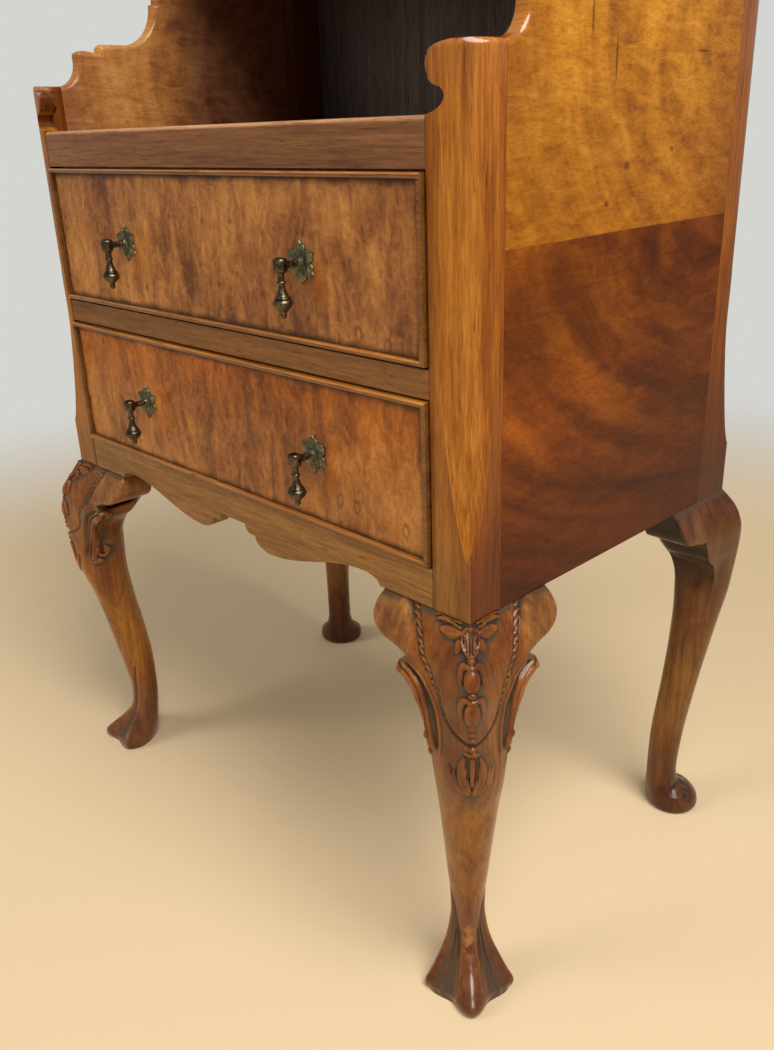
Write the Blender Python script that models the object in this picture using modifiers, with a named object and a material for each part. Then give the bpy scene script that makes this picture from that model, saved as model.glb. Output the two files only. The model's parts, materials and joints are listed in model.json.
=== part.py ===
"""Walnut bedside cabinet: open shelves between scrolled sides, over two drawers, on cabriole legs.

Metres, +Z up. The front faces -Y. The origin is on the floor, under the middle of the whole object's box.
"""

import math
from collections import namedtuple

import bmesh
import bpy
import numpy as np
from mathutils import Matrix, Vector

# Clearance between pieces that touch
GAP = 0.0003

# Case: widths across, depths from the front face to the back, heights above the underside of the case
OPENING_WIDTH = 0.500
POST_WIDTH = 0.036
CASE_DEPTH = 0.365
FRONT_POST_DEPTH = 0.034
REAR_POST_DEPTH = 0.048
POST_ROUND = 0.033
POST_ARRIS = 0.001
TONGUE_POINT = 0.046
TONGUE_LENGTH = 0.110
PANEL_THICKNESS = 0.015
RAIL_THICKNESS = 0.020
DIVIDER_DEPTH = 0.032
APRON_HEIGHT = 0.032
DIVIDER_HEIGHT = 0.021
TOP_RAIL_HEIGHT = 0.031
TOP_RAIL_ROUND = 0.005
DRAWER_OPENING = 0.1262

# Scrolled head of each front post
EAR_HEIGHT = 0.0405
EAR_NOTCH = 0.011
EAR_ROUND = 0.005
EAR_NOTCH_END = 0.55
EAR_ROUND_START = 0.75
EAR_LEVELS = (0.0, 0.1, 0.2, 0.3, 0.42, EAR_NOTCH_END, EAR_ROUND_START, 0.88, 0.96, 1.0)

# Scrolled front edge of the sides: a small cove, a lip, a step and a large cove, used twice
SMALL_COVE = 0.022
SCROLL_LIP = 0.010
SCROLL_FALL = 0.002
SCROLL_BUMP = 0.025
SCROLL_STEP = 0.006
SCROLL_FLAT = 0.030
LARGE_COVE = 0.038
SCROLL_SETBACK = 0.004
SHOULDER_RISE = 0.024
SHOULDER_ROUND = 0.010
POST_CAP = 0.006

# Shelves and back
FLOOR_THICKNESS = 0.012
COMPARTMENT_HEIGHT = 0.209
SHELF_THICKNESS = 0.018
SHELF_SETBACK = 0.008
BACK_THICKNESS = 0.006
BACK_INSET = 0.008
REAR_RAIL_HEIGHT = 0.040
GALLERY_THICKNESS = 0.012
GALLERY_END = 0.062
GALLERY_CREST = 0.086
GALLERY_SHOULDER = 0.060
GALLERY_COVE = 0.018

# Shaped lower edge of the apron, from the middle outwards; drops are below the case
APRON_ARCH = 0.018
APRON_ARCH_RISE = 0.005
APRON_COVE = 0.008
APRON_FILLET = 0.006
APRON_DROP = 0.015
APRON_OVOLO = 0.021
APRON_HOLLOW_RISE = 0.0078
APRON_END_COVE = 0.018

# Runners, dust panels and stops inside the case
RUNNER_HEIGHT = 0.016
RUNNER_SEAT = 0.016
GUIDE_RISE = 0.022
DUST_THICKNESS = 0.005
DUST_DROP = 0.006
STOP_WIDTH = 0.040
STOP_DEPTH = 0.012
STOP_HEIGHT = 0.005

# Drawers
DRAWER_PLAY = 0.0008
FRONT_THICKNESS = 0.018
BEAD_WIDTH = 0.0048
BEAD_PROUD = 0.0045
BEAD_DEPTH = 0.007
LINING_THICKNESS = 0.010
LINING_DROP = 0.014
BOTTOM_THICKNESS = 0.005
BOTTOM_RISE = 0.008
DRAWER_CLEAR_BEHIND = 0.030

# Drop handles: x of their centres from the middle, height below the middle of the drawer front
HANDLE_SPREAD = 0.1235
HANDLE_LOW = 0.0015
HANDLE_REACH = 0.020
PLATE_THICKNESS = 0.0016
PLATE_HALF_HEIGHT = 0.016
PLATE_HALF_WIDTH = 0.0145
PLATE_LOBES = 6
PLATE_DIP = 0.30
PLATE_STEPS = 6
SHANK_RADIUS = 0.0023
SHANK_PLAY = 0.0003
RIVET_RADIUS = 0.005
RIVET_THICKNESS = 0.0015
BOSS_RADIUS = 0.0046
BOSS_LENGTH = 0.004
STEM_RADIUS = 0.0026
TONGUE_RADIUS = 0.0024
TONGUE_THICKNESS = 0.003
PIN_RADIUS = 0.0012
PIN_LENGTH = 0.0088
PIVOT_PLAY = 0.0003
HEAD_RADIUS = 0.00535
HEAD_HALF_HEIGHT = 0.0053
FORK_FLOOR = 0.0042
NECK_RADIUS = 0.0028
NECK_LENGTH = 0.0065
VASE_LENGTH = 0.0105
VASE_RADIUS = 0.0042
COLLAR_RADIUS = 0.0062
COLLAR_HEIGHT = 0.0020
BULB_RADIUS = 0.0076
BULB_LENGTH = 0.0100
TIP_RADIUS = 0.0023
TIP_LENGTH = 0.0036
TURNED_STEPS = 12
# Shapes of the drop as shares: head by its radius and half height, bulb by its radius and length
HEAD_SHAPE = ((0.0, 1.0), (0.65, 1.0), (1.0, 0.7), (1.0, -0.7), (0.8, -1.0))
BULB_SHAPE = ((0.72, 0.04), (1.0, 0.32), (0.9, 0.58), (0.45, 0.96))
TIP_SHAPE = ((1.0, 0.0), (1.0, 0.6), (0.5, 1.0), (0.0, 1.0))
NECK_SHAPE = ((1.0, 0.2), (1.0, 1.0), (1.12, 1.12), (1.0, 1.25))

# Legs: the knee block under each corner post, its two ears, the shaft and the foot
LEG_HEIGHT = 0.362
KNEE_BLOCK = 0.050
EAR_LENGTH = 0.043
EAR_DROP = 0.035
EAR_DEPTH = 0.030
EAR_EDGE = 0.004
EAR_CLEAR = 0.003
KNEE_DROP = 0.125
RING_STEPS = 6

# Levels worked out from the sizes above
CASE_WIDTH = OPENING_WIDTH + 2 * POST_WIDTH
CASE_BASE = LEG_HEIGHT
LOWER_OPENING = CASE_BASE + APRON_HEIGHT
DIVIDER_BASE = LOWER_OPENING + DRAWER_OPENING
UPPER_OPENING = DIVIDER_BASE + DIVIDER_HEIGHT
TOP_RAIL_BASE = UPPER_OPENING + DRAWER_OPENING
TOP_RAIL_TOP = TOP_RAIL_BASE + TOP_RAIL_HEIGHT
EAR_TOP = TOP_RAIL_TOP + EAR_HEIGHT
FLOOR_TOP = TOP_RAIL_BASE + GAP + FLOOR_THICKNESS
SHELF_BASE = FLOOR_TOP + COMPARTMENT_HEIGHT
SHELF_TOP = SHELF_BASE + SHELF_THICKNESS
SHOULDER_TOP = SHELF_TOP + SHOULDER_RISE
SCROLL_RISE = SMALL_COVE + SCROLL_LIP + SCROLL_STEP + LARGE_COVE
SCROLL_RUN = SMALL_COVE + SCROLL_BUMP + SCROLL_FLAT + LARGE_COVE
REAR_POST_TOP = SHOULDER_TOP + SCROLL_RISE + POST_CAP

ARC_STEPS = 6
SMOOTH_ANGLE = math.radians(50)
MERGE_DISTANCE = 0.00001
BEZIER_ROUND = 0.5523
ROOT_TWO = math.sqrt(2)
SIDES = (("left", -1), ("right", 1))

# Rotations that stand a flat outline up: outline axes to world axes
PLAN = Matrix.Identity(3)
FRONT_VIEW = Matrix(((1, 0, 0), (0, 0, -1), (0, 1, 0)))
SIDE_VIEW = Matrix(((0, 0, 1), (1, 0, 0), (0, 1, 0)))

# Cabriole legs. Each section is measured on the diagonal of its corner: how far out its front and back
# reach, where its widest points lie, how square its corners are, how round its front is and how deep its
# flutes are. Calf sections are placed by their drop below the case, shaft sections by their share of the
# way from knee to ankle, and foot sections by their height above the floor.
Section = namedtuple("Section", "at outer inner side_out side_across square round flute")
Knee = namedtuple("Knee", "drop outer inner reach swell")

FRONT_KNEE = (
    Knee(0.000, 0.0000, -0.062, KNEE_BLOCK, 0.0000),
    Knee(0.008, 0.0065, -0.062, KNEE_BLOCK, 0.0042),
    Knee(0.016, 0.0123, -0.062, KNEE_BLOCK, 0.0080),
    Knee(0.026, 0.0196, -0.062, KNEE_BLOCK, 0.0125),
    Knee(0.037, 0.0245, -0.062, KNEE_BLOCK, 0.0155),
    Knee(0.044, 0.0260, -0.061, KNEE_BLOCK + 0.007, 0.0165),
    Knee(0.051, 0.0275, -0.057, KNEE_BLOCK + 0.007, 0.0170),
    Knee(0.060, 0.0284, -0.049, KNEE_BLOCK - 0.001, 0.0170),
    Knee(0.071, 0.0284, -0.040, KNEE_BLOCK - 0.013, 0.0170),
)
REAR_KNEE = (
    Knee(0.000, 0.0000, -0.062, KNEE_BLOCK, 0.0000),
    Knee(0.008, 0.0072, -0.062, KNEE_BLOCK, 0.0050),
    Knee(0.017, 0.0142, -0.062, KNEE_BLOCK, 0.0095),
    Knee(0.027, 0.0190, -0.062, KNEE_BLOCK, 0.0128),
    Knee(0.038, 0.0218, -0.062, KNEE_BLOCK, 0.0148),
    Knee(0.044, 0.0220, -0.060, KNEE_BLOCK - 0.003, 0.0150),
    Knee(0.057, 0.0214, -0.052, KNEE_BLOCK - 0.008, 0.0148),
    Knee(0.068, 0.0205, -0.044, KNEE_BLOCK - 0.020, 0.0145),
)
FRONT_CALF = (
    Section(0.090, 0.0270, -0.0335, -0.010, 0.0325, 0.8, 0.22, 0.0),
    Section(0.108, 0.0240, -0.0325, -0.008, 0.0302, 0.5, 0.36, 0.0),
    Section(KNEE_DROP, 0.0200, -0.0320, -0.006, 0.0282, 0.2, 0.48, 0.0),
)
REAR_CALF = (
    Section(0.085, 0.0180, -0.0388, -0.008, 0.0265, 0.7, 0.28, 0.0),
    Section(0.104, 0.0150, -0.0370, -0.010, 0.0250, 0.35, 0.42, 0.0),
    Section(KNEE_DROP, 0.0100, -0.0362, -0.013, 0.0235, 0.1, 0.52, 0.0),
)
FRONT_SHAFT = (
    Section(0.32, 0.0065, -0.0355, -0.014, 0.0240, 0.0, BEZIER_ROUND, 0.0),
    Section(0.70, -0.0035, -0.0430, -0.023, 0.0198, 0.0, BEZIER_ROUND, 0.0),
)
REAR_SHAFT = (
    Section(0.25, 0.0020, -0.0378, -0.018, 0.0205, 0.0, BEZIER_ROUND, 0.0),
    Section(0.54, -0.0065, -0.0418, -0.024, 0.0178, 0.0, BEZIER_ROUND, 0.0),
)
FRONT_FOOT = (
    Section(0.112, -0.0110, -0.0475, -0.0295, 0.0168, 0.0, BEZIER_ROUND, 0.00),
    Section(0.092, -0.0145, -0.0480, -0.0310, 0.0150, 0.0, BEZIER_ROUND, 0.04),
    Section(0.072, -0.0170, -0.0480, -0.0310, 0.0146, 0.0, 0.48, 0.08),
    Section(0.053, -0.0165, -0.0470, -0.0290, 0.0168, 0.0, 0.42, 0.13),
    Section(0.040, -0.0125, -0.0455, -0.0260, 0.0200, 0.0, 0.36, 0.18),
    Section(0.027, -0.0015, -0.0440, -0.0210, 0.0257, 0.0, 0.32, 0.22),
    Section(0.014, 0.0145, -0.0420, -0.0170, 0.0325, 0.0, 0.30, 0.25),
    Section(0.006, 0.0222, -0.0400, -0.0150, 0.0368, 0.0, 0.30, 0.26),
    Section(0.000, 0.0200, -0.0385, -0.0150, 0.0355, 0.0, 0.30, 0.26),
)
REAR_FOOT = (
    Section(0.077, -0.0170, -0.0490, -0.0330, 0.0155, 0.0, BEZIER_ROUND, 0.0),
    Section(0.046, -0.0190, -0.0495, -0.0340, 0.0155, 0.0, BEZIER_ROUND, 0.0),
    Section(0.032, -0.0180, -0.0495, -0.0330, 0.0175, 0.0, BEZIER_ROUND, 0.0),
    Section(0.024, -0.0100, -0.0492, -0.0280, 0.0230, 0.0, BEZIER_ROUND, 0.0),
    Section(0.018, -0.0010, -0.0488, -0.0230, 0.0272, 0.0, BEZIER_ROUND, 0.0),
    Section(0.010, 0.0050, -0.0482, -0.0210, 0.0290, 0.0, BEZIER_ROUND, 0.0),
    Section(0.004, 0.0060, -0.0475, -0.0210, 0.0288, 0.0, BEZIER_ROUND, 0.0),
    Section(0.000, 0.0030, -0.0445, -0.0210, 0.0260, 0.0, BEZIER_ROUND, 0.0),
)
# How far an ear reaches past the knee block, as shares of its length and drop
FRONT_EAR = ((0.0, 0.90), (0.17, 0.97), (0.34, 1.0), (0.5, 1.0), (0.66, 0.93), (0.8, 0.80), (0.92, 0.58),
             (1.0, 0.30))
REAR_EAR = ((0.0, 0.89), (0.2, 0.88), (0.4, 0.86), (0.6, 0.82), (0.8, 0.74), (0.9, 0.63), (0.97, 0.46),
            (1.0, 0.26))
KNEE_SOFTNESS = 0.14


def bezier(a, b, c, d, steps):
    t = np.linspace(0, 1, steps + 1)[:, None]
    a, b, c, d = (np.array(p) for p in (a, b, c, d))
    return (1 - t) ** 3 * a + 3 * t * (1 - t) ** 2 * b + 3 * t * t * (1 - t) * c + t ** 3 * d


def knee_section(knee):
    """A knee's section from how far its faces run along the case and swell out of it."""
    softness = KNEE_SOFTNESS * min(1.0, knee.drop / EAR_DROP)
    return Section(knee.drop, knee.outer, knee.inner, (knee.swell - knee.reach) / ROOT_TWO,
                   (knee.swell + knee.reach) / ROOT_TWO, 1.0, softness, 0.0)


def section_points(section):
    """Half of a leg's outline as (out, across) points, from the middle of its back to its front."""
    side = (section.side_out, -section.side_across)
    turn = math.radians(45) * section.square
    face = section.square * ROOT_TWO * section.side_across
    front_pull = BEZIER_ROUND * (face + (1 - section.square) * (section.outer - section.side_out))
    back_pull = BEZIER_ROUND * (section.side_out - section.inner + section.square * section.side_across)
    cos, sin = math.cos(turn), math.sin(turn)
    to_end_face = max(0.0, section.inner - section.side_out + section.side_across)
    back_width = (1 - section.square) * BEZIER_ROUND * section.side_across + section.square * to_end_face
    back = bezier((section.inner, 0), (section.inner, -back_width),
                  (side[0] - back_pull * cos, side[1] + back_pull * sin), side, RING_STEPS - 2)
    front = bezier(side, (side[0] + front_pull * cos, side[1] + front_pull * sin),
                   (section.outer, -section.round * section.side_across), (section.outer, 0), RING_STEPS)
    centre = np.array(((section.outer + section.inner) / 2, 0))
    flutes = 1 - section.flute * np.sin(np.pi * np.linspace(0, 1, RING_STEPS + 1)) ** 2
    front = centre + (front - centre) * flutes[:, None]
    return [tuple(p) for p in back[:-1]] + [tuple(p) for p in front]


def leg_sections(rear):
    """All sections of a leg by height; only the shaft between a fixed knee and foot changes in length."""
    knee, calf, shaft, foot = ((REAR_KNEE, REAR_CALF, REAR_SHAFT, REAR_FOOT) if rear else
                               (FRONT_KNEE, FRONT_CALF, FRONT_SHAFT, FRONT_FOOT))
    ankle = foot[0].at
    shaft_length = LEG_HEIGHT - KNEE_DROP - ankle
    sections = [(LEG_HEIGHT - GAP - k.drop, knee_section(k)) for k in knee]
    sections += [(LEG_HEIGHT - section.at, section) for section in calf]
    sections += [(ankle + shaft_length * (1 - section.at), section) for section in shaft]
    return sections + [(section.at, section) for section in foot]


def knee_swell(rear, drop):
    knee = REAR_KNEE if rear else FRONT_KNEE
    return float(np.interp(drop, [k.drop for k in knee], [k.swell for k in knee]))


def knee_reach(rear):
    """How far a leg's face stands out of the case at most."""
    outlines = (section_points(section) for height, section in leg_sections(rear))
    return max((out - across) / ROOT_TWO for outline in outlines for out, across in outline)


# Plan positions: the front face stands so that the box is centred, from the pendants to the rear knees
FRONT_Y = (HANDLE_REACH + BULB_RADIUS - CASE_DEPTH - knee_reach(rear=True)) / 2
BACK_Y = FRONT_Y + CASE_DEPTH
PANEL_FRONT = FRONT_Y + FRONT_POST_DEPTH + GAP
PANEL_REAR = BACK_Y - REAR_POST_DEPTH - GAP
PANEL_INNER = CASE_WIDTH / 2 - PANEL_THICKNESS - GAP
RAIL_HALF = OPENING_WIDTH / 2 - GAP
BACK_FRONT = BACK_Y - BACK_INSET - BACK_THICKNESS
RISER_Y = PANEL_FRONT + SCROLL_RUN + SCROLL_SETBACK
SHELF_FRONT = RISER_Y + SHELF_SETBACK


# Materials
def make_material(name, colour, roughness, metallic=0.0):
    material = bpy.data.materials.new(name)
    material.use_nodes = True
    shader = material.node_tree.nodes["Principled BSDF"]
    shader.inputs["Base Color"].default_value = (*colour, 1.0)
    shader.inputs["Roughness"].default_value = roughness
    shader.inputs["Metallic"].default_value = metallic
    return material


# Scene and object helpers
def clear_scene():
    for old in list(bpy.data.objects):
        bpy.data.objects.remove(old)


def make_collection(name):
    collection = bpy.data.collections.new(name)
    bpy.context.scene.collection.children.link(collection)
    return collection


def add_object(name, data, material, parent, location=(0, 0, 0), rotation=PLAN):
    """Link a named piece, placed under its parent empty."""
    piece = bpy.data.objects.new(name, data)
    data.materials.clear()
    data.materials.append(material)
    piece.parent = parent
    piece.matrix_basis = Matrix.Translation(location) @ rotation.to_4x4()
    parts.objects.link(piece)
    return piece


def add_empty(name, parent, location=(0, 0, 0)):
    empty = bpy.data.objects.new(name, None)
    empty.parent = parent
    empty.location = location
    parts.objects.link(empty)
    return empty


def add_cutter(name, mesh, location, rotation=PLAN):
    """Link a hidden tool for Boolean modifiers."""
    cutter = bpy.data.objects.new(name, mesh)
    cutter.matrix_basis = Matrix.Translation(location) @ rotation.to_4x4()
    cutter.hide_render = True
    cutter.display_type = "WIRE"
    cutters.objects.link(cutter)
    return cutter


def add_boolean(piece, tool, operation):
    modifier = piece.modifiers.new(operation.title(), "BOOLEAN")
    modifier.operation = operation
    modifier.object = tool


def mesh_from_bmesh(name, shape):
    mesh = bpy.data.meshes.new(name)
    shape.to_mesh(mesh)
    shape.free()
    return mesh


def shade_round(mesh):
    mesh.shade_smooth()
    mesh.set_sharp_from_angle(angle=SMOOTH_ANGLE)


def finished_mesh(piece, name):
    """The mesh that a piece has after its modifiers; the piece itself is removed."""
    graph = bpy.context.evaluated_depsgraph_get()
    mesh = bpy.data.meshes.new_from_object(piece.evaluated_get(graph))
    mesh.name = name
    shade_round(mesh)
    bpy.data.objects.remove(piece)
    return mesh


def box_mesh(name, low, high):
    shape = bmesh.new()
    size = [b - a for a, b in zip(low, high)]
    middle = [(a + b) / 2 for a, b in zip(low, high)]
    placed = Matrix.Translation(middle) @ Matrix.Diagonal((*size, 1))
    bmesh.ops.create_cube(shape, size=1, matrix=placed)
    return mesh_from_bmesh(name, shape)


def add_box(name, low, high, material, parent):
    return add_object(name, box_mesh(name, low, high), material, parent)


def cylinder_mesh(name, radius, length, segments=TURNED_STEPS):
    """A cylinder along X, centred on the origin."""
    shape = bmesh.new()
    along_x = Matrix.Rotation(math.radians(90), 4, "Y")
    bmesh.ops.create_cone(shape, cap_ends=True, segments=segments, radius1=radius, radius2=radius,
                          depth=length, matrix=along_x)
    return mesh_from_bmesh(name, shape)


def outline_curve(name, outlines, thickness):
    """A flat curve filled on both sides; the first outline is the rim and the others are holes."""
    curve = bpy.data.curves.new(name, "CURVE")
    curve.dimensions = "2D"
    curve.fill_mode = "BOTH"
    curve.extrude = thickness / 2
    curve.render_resolution_u = 0
    for outline in outlines:
        spline = curve.splines.new("POLY")
        spline.points.add(len(outline) - 1)
        for point, (u, v) in zip(spline.points, outline):
            point.co = (u, v, 0, 1)
        spline.use_cyclic_u = True
    return curve


def add_outline(name, outline, thickness, rotation, location, material, parent, holes=()):
    curve = outline_curve(name, [outline, *holes], thickness)
    return add_object(name, curve, material, parent, location, rotation)


def loft_mesh(name, rings, smooth=False):
    """A closed body through rings of equally many points, with a flat cap at each end."""
    shape = bmesh.new()
    loops = [[shape.verts.new(point) for point in ring] for ring in rings]
    for lower, upper in zip(loops, loops[1:]):
        for i in range(len(lower)):
            shape.faces.new((lower[i - 1], lower[i], upper[i], upper[i - 1]))
    shape.faces.new(loops[0])
    shape.faces.new(loops[-1])
    bmesh.ops.recalc_face_normals(shape, faces=shape.faces)
    mesh = mesh_from_bmesh(name, shape)
    if smooth:
        shade_round(mesh)
    return mesh


def turned_mesh(name, profile, material):
    """A solid turned about Z from (radius, height) points that run down from the axis to the axis."""
    line = bpy.data.meshes.new(name + "_profile")
    points = [(radius, 0, height) for radius, height in profile]
    line.from_pydata(points, [(i, i + 1) for i in range(len(points) - 1)], [])
    piece = add_object(name + "_profile", line, material, None)
    screw = piece.modifiers.new("Screw", "SCREW")
    screw.steps = TURNED_STEPS
    screw.render_steps = TURNED_STEPS
    screw.use_merge_vertices = True
    screw.merge_threshold = MERGE_DISTANCE
    return finished_mesh(piece, name)


# Outline helpers
def arc(centre, radius, start, end, steps=ARC_STEPS):
    """Points of an arc between two angles in degrees, both ends included."""
    angles = np.radians(np.linspace(start, end, steps + 1))
    return [(centre[0] + radius * math.cos(a), centre[1] + radius * math.sin(a)) for a in angles]


def mirrored(half):
    """A symmetric run of points from its right half, which starts at the middle."""
    return [(-u, v) for u, v in reversed(half) if u > 0] + list(half)


def ease(t):
    return t * t * (3 - 2 * t)


def at_corner(side, rear, along, inward, height):
    """World point measured from a corner of the case: along the front or back, and in from it."""
    depth = BACK_Y - inward if rear else FRONT_Y + inward
    return Vector((side * (CASE_WIDTH / 2 - along), depth, height))


# Corner posts
def post_section(width, depth, radius, notch=0.0, inset=0.0):
    """Plan of a post from its rounded outer corner: across and in, clipped by the notch of its head."""
    radius = max(POST_ARRIS, min(radius, width - POST_ARRIS, depth - POST_ARRIS))
    reach = width - notch
    start = math.degrees(math.acos(max(0.0, 1 - reach / radius)))
    curve = arc((radius, radius), radius, 180 + start, 180)
    edge = (reach, 0.0) if reach > radius else (reach, (curve[0][1] + depth) / 2)
    points = [(reach, depth), edge, *curve, (0.0, depth)]
    return [(a + inset * (1 - 2 * a / reach), b + inset * (1 - b / depth)) for a, b in points]


def tongue_radius(height):
    """Corner radius that dies out downwards to a point on the square corner below it."""
    t = (height - CASE_BASE - TONGUE_POINT) / TONGUE_LENGTH
    return POST_ROUND * ease(min(1.0, max(0.0, t)))


def tongue_levels():
    steps = np.linspace(TONGUE_POINT, TONGUE_POINT + TONGUE_LENGTH, ARC_STEPS + 2)
    return [CASE_BASE] + [CASE_BASE + step for step in steps]


def head_rings(depth, base, rise, notch_depth):
    """Sections of a post's head with a notch low on its inner side and a rounded top."""
    rings = []
    for u in EAR_LEVELS:
        notch = notch_depth * math.sin(math.pi * min(u / EAR_NOTCH_END, 1.0))
        top = max(0.0, (u - EAR_ROUND_START) / (1 - EAR_ROUND_START))
        inset = EAR_ROUND * (1 - math.sqrt(1 - top * top))
        rings.append((base + rise * u, post_section(POST_WIDTH, depth, POST_ROUND, notch, inset)))
    return rings


def add_posts(material, parent):
    for rear in (False, True):
        depth = REAR_POST_DEPTH if rear else FRONT_POST_DEPTH
        rings = [(z, post_section(POST_WIDTH, depth, tongue_radius(z))) for z in tongue_levels()]
        if rear:
            rings += head_rings(depth, REAR_POST_TOP - EAR_HEIGHT, EAR_HEIGHT, 0.0)
        else:
            rings += head_rings(depth, TOP_RAIL_TOP, EAR_HEIGHT, EAR_NOTCH)
        for word, side in SIDES:
            name = f"{'rear' if rear else 'front'}_{word}_post"
            placed = [[at_corner(side, rear, a, b, z) for a, b in ring] for z, ring in rings]
            add_object(name, loft_mesh(name, placed, smooth=True), material, parent)


# Scrolled side panels
def scroll_profile(front, base):
    """Cove, lip, step and large cove, climbing from (front, base) towards the back."""
    points = arc((front, base + SMALL_COVE), SMALL_COVE, -90, 0)
    y = front + SMALL_COVE
    lip = base + SMALL_COVE + SCROLL_LIP
    fall = lip - SCROLL_FALL
    points += [(y, fall), (y + SCROLL_BUMP / 4, lip), (y + SCROLL_BUMP, fall)]
    y += SCROLL_BUMP
    points += [(y, lip + SCROLL_STEP)]
    y += SCROLL_FLAT
    points += arc((y, lip + SCROLL_STEP + LARGE_COVE), LARGE_COVE, -90, 0)
    return points


def side_outline():
    lower = scroll_profile(PANEL_FRONT, EAR_TOP)
    shoulder = arc((RISER_Y + SHOULDER_ROUND, SHOULDER_TOP - SHOULDER_ROUND), SHOULDER_ROUND, 180, 90)
    upper = scroll_profile(PANEL_REAR - SCROLL_RUN, SHOULDER_TOP)
    step = [(RISER_Y, lower[-1][1])]
    return [(PANEL_REAR, CASE_BASE), (PANEL_FRONT, CASE_BASE), *lower, *step, *shoulder, *upper]


def add_side_panels(material, parent):
    for word, side in SIDES:
        middle = side * (CASE_WIDTH - PANEL_THICKNESS) / 2
        add_outline(f"{word}_side_panel", side_outline(), PANEL_THICKNESS, SIDE_VIEW, (middle, 0, 0),
                    material, parent)


# Rails
def apron_edge():
    """Right half of the apron's shaped lower edge, from the middle to the post."""
    points = [(0.0, APRON_ARCH_RISE)]
    points += arc((APRON_ARCH + APRON_COVE, APRON_ARCH_RISE), APRON_COVE, 180, 270)
    low = APRON_ARCH_RISE - APRON_COVE
    x = APRON_ARCH + APRON_COVE + APRON_FILLET
    points += [(x, low)]
    for angle in np.radians(np.linspace(15, 90, ARC_STEPS)):
        points.append((x + APRON_OVOLO * (1 - math.cos(angle)), low - (APRON_DROP + low) * math.sin(angle)))
    level = RAIL_HALF + POST_WIDTH - KNEE_BLOCK - EAR_LENGTH - EAR_CLEAR
    start, end = x + APRON_OVOLO, level - APRON_END_COVE
    for t in np.linspace(0, 1, 2 * ARC_STEPS)[1:]:
        rise = (APRON_DROP + APRON_HOLLOW_RISE) * ease(t) - APRON_DROP
        points.append((start + (end - start) * t, rise))
    for angle in np.radians(np.linspace(0, 90, ARC_STEPS)[1:]):
        points.append((end + APRON_END_COVE * math.sin(angle), APRON_HOLLOW_RISE * math.cos(angle)))
    return points + [(RAIL_HALF, 0.0)]


def add_rails(material, parent):
    thick = RAIL_THICKNESS
    edge = [(x, CASE_BASE + z) for x, z in mirrored(apron_edge())]
    top = LOWER_OPENING - GAP
    add_outline("apron_rail", [(-RAIL_HALF, top), *edge, (RAIL_HALF, top)], thick, FRONT_VIEW,
                (0, FRONT_Y + thick / 2, 0), material, parent)
    add_box("drawer_divider_rail", (-RAIL_HALF, FRONT_Y, DIVIDER_BASE),
            (RAIL_HALF, FRONT_Y + DIVIDER_DEPTH, UPPER_OPENING - GAP), material, parent)
    rounded = arc((FRONT_Y + TOP_RAIL_ROUND, TOP_RAIL_TOP - TOP_RAIL_ROUND), TOP_RAIL_ROUND, 180, 90)
    profile = [(FRONT_Y, TOP_RAIL_BASE), *rounded, (FRONT_Y + thick, TOP_RAIL_TOP),
               (FRONT_Y + thick, TOP_RAIL_BASE)]
    add_outline("top_rail", profile, 2 * RAIL_HALF, SIDE_VIEW, (0, 0, 0), material, parent)
    add_box("rear_bottom_rail", (-RAIL_HALF, BACK_Y - thick - BACK_INSET, CASE_BASE),
            (RAIL_HALF, BACK_Y - BACK_INSET, CASE_BASE + REAR_RAIL_HEIGHT), material, parent)


# Shelves and back
def board_plan(front, rear):
    """Plan of a board between the sides, notched round the posts that it passes."""
    half, front_notch, rear_notch = RAIL_HALF, front < PANEL_FRONT, rear > PANEL_REAR
    right = []
    right += [(half, front), (half, PANEL_FRONT), (PANEL_INNER, PANEL_FRONT)] if front_notch else [
        (PANEL_INNER, front)]
    right += [(PANEL_INNER, PANEL_REAR), (half, PANEL_REAR), (half, rear)] if rear_notch else [
        (PANEL_INNER, rear)]
    return right + [(-x, y) for x, y in reversed(right)]


def add_board(name, front, rear, base, thickness, material, parent):
    add_outline(name, board_plan(front, rear), thickness, PLAN, (0, 0, base + thickness / 2), material,
                parent)


def gallery_outline():
    """Low shaped back above the shelf: level ends, a cove on each side and a raised middle."""
    ends, crest = SHELF_TOP + GALLERY_END, SHELF_TOP + GALLERY_CREST
    x = RAIL_HALF - GALLERY_SHOULDER
    half = [(0.0, crest)]
    for t in np.linspace(0.2, 1, ARC_STEPS):
        half.append(((x - GALLERY_COVE) * t, crest - (crest - ends - GALLERY_COVE) * ease(t)))
    half += arc((x, ends + GALLERY_COVE), GALLERY_COVE, 180, 270)
    half += [(RAIL_HALF, ends), (RAIL_HALF, SHELF_TOP + GAP)]
    return mirrored(half)


def add_boards(walnut, lining, parent):
    add_board("compartment_floor", FRONT_Y + RAIL_THICKNESS + GAP, BACK_FRONT - GAP, TOP_RAIL_BASE + GAP,
              FLOOR_THICKNESS, walnut, parent)
    add_board("upper_shelf", SHELF_FRONT, BACK_Y - BACK_INSET, SHELF_BASE, SHELF_THICKNESS, walnut, parent)
    add_box("back_panel", (-RAIL_HALF, BACK_FRONT, CASE_BASE + REAR_RAIL_HEIGHT + GAP),
            (RAIL_HALF, BACK_FRONT + BACK_THICKNESS, SHELF_BASE - GAP), lining, parent)
    middle = BACK_Y - BACK_INSET - GALLERY_THICKNESS / 2
    add_outline("gallery_back", gallery_outline(), GALLERY_THICKNESS, FRONT_VIEW, (0, middle, 0), walnut,
                parent)


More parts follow.
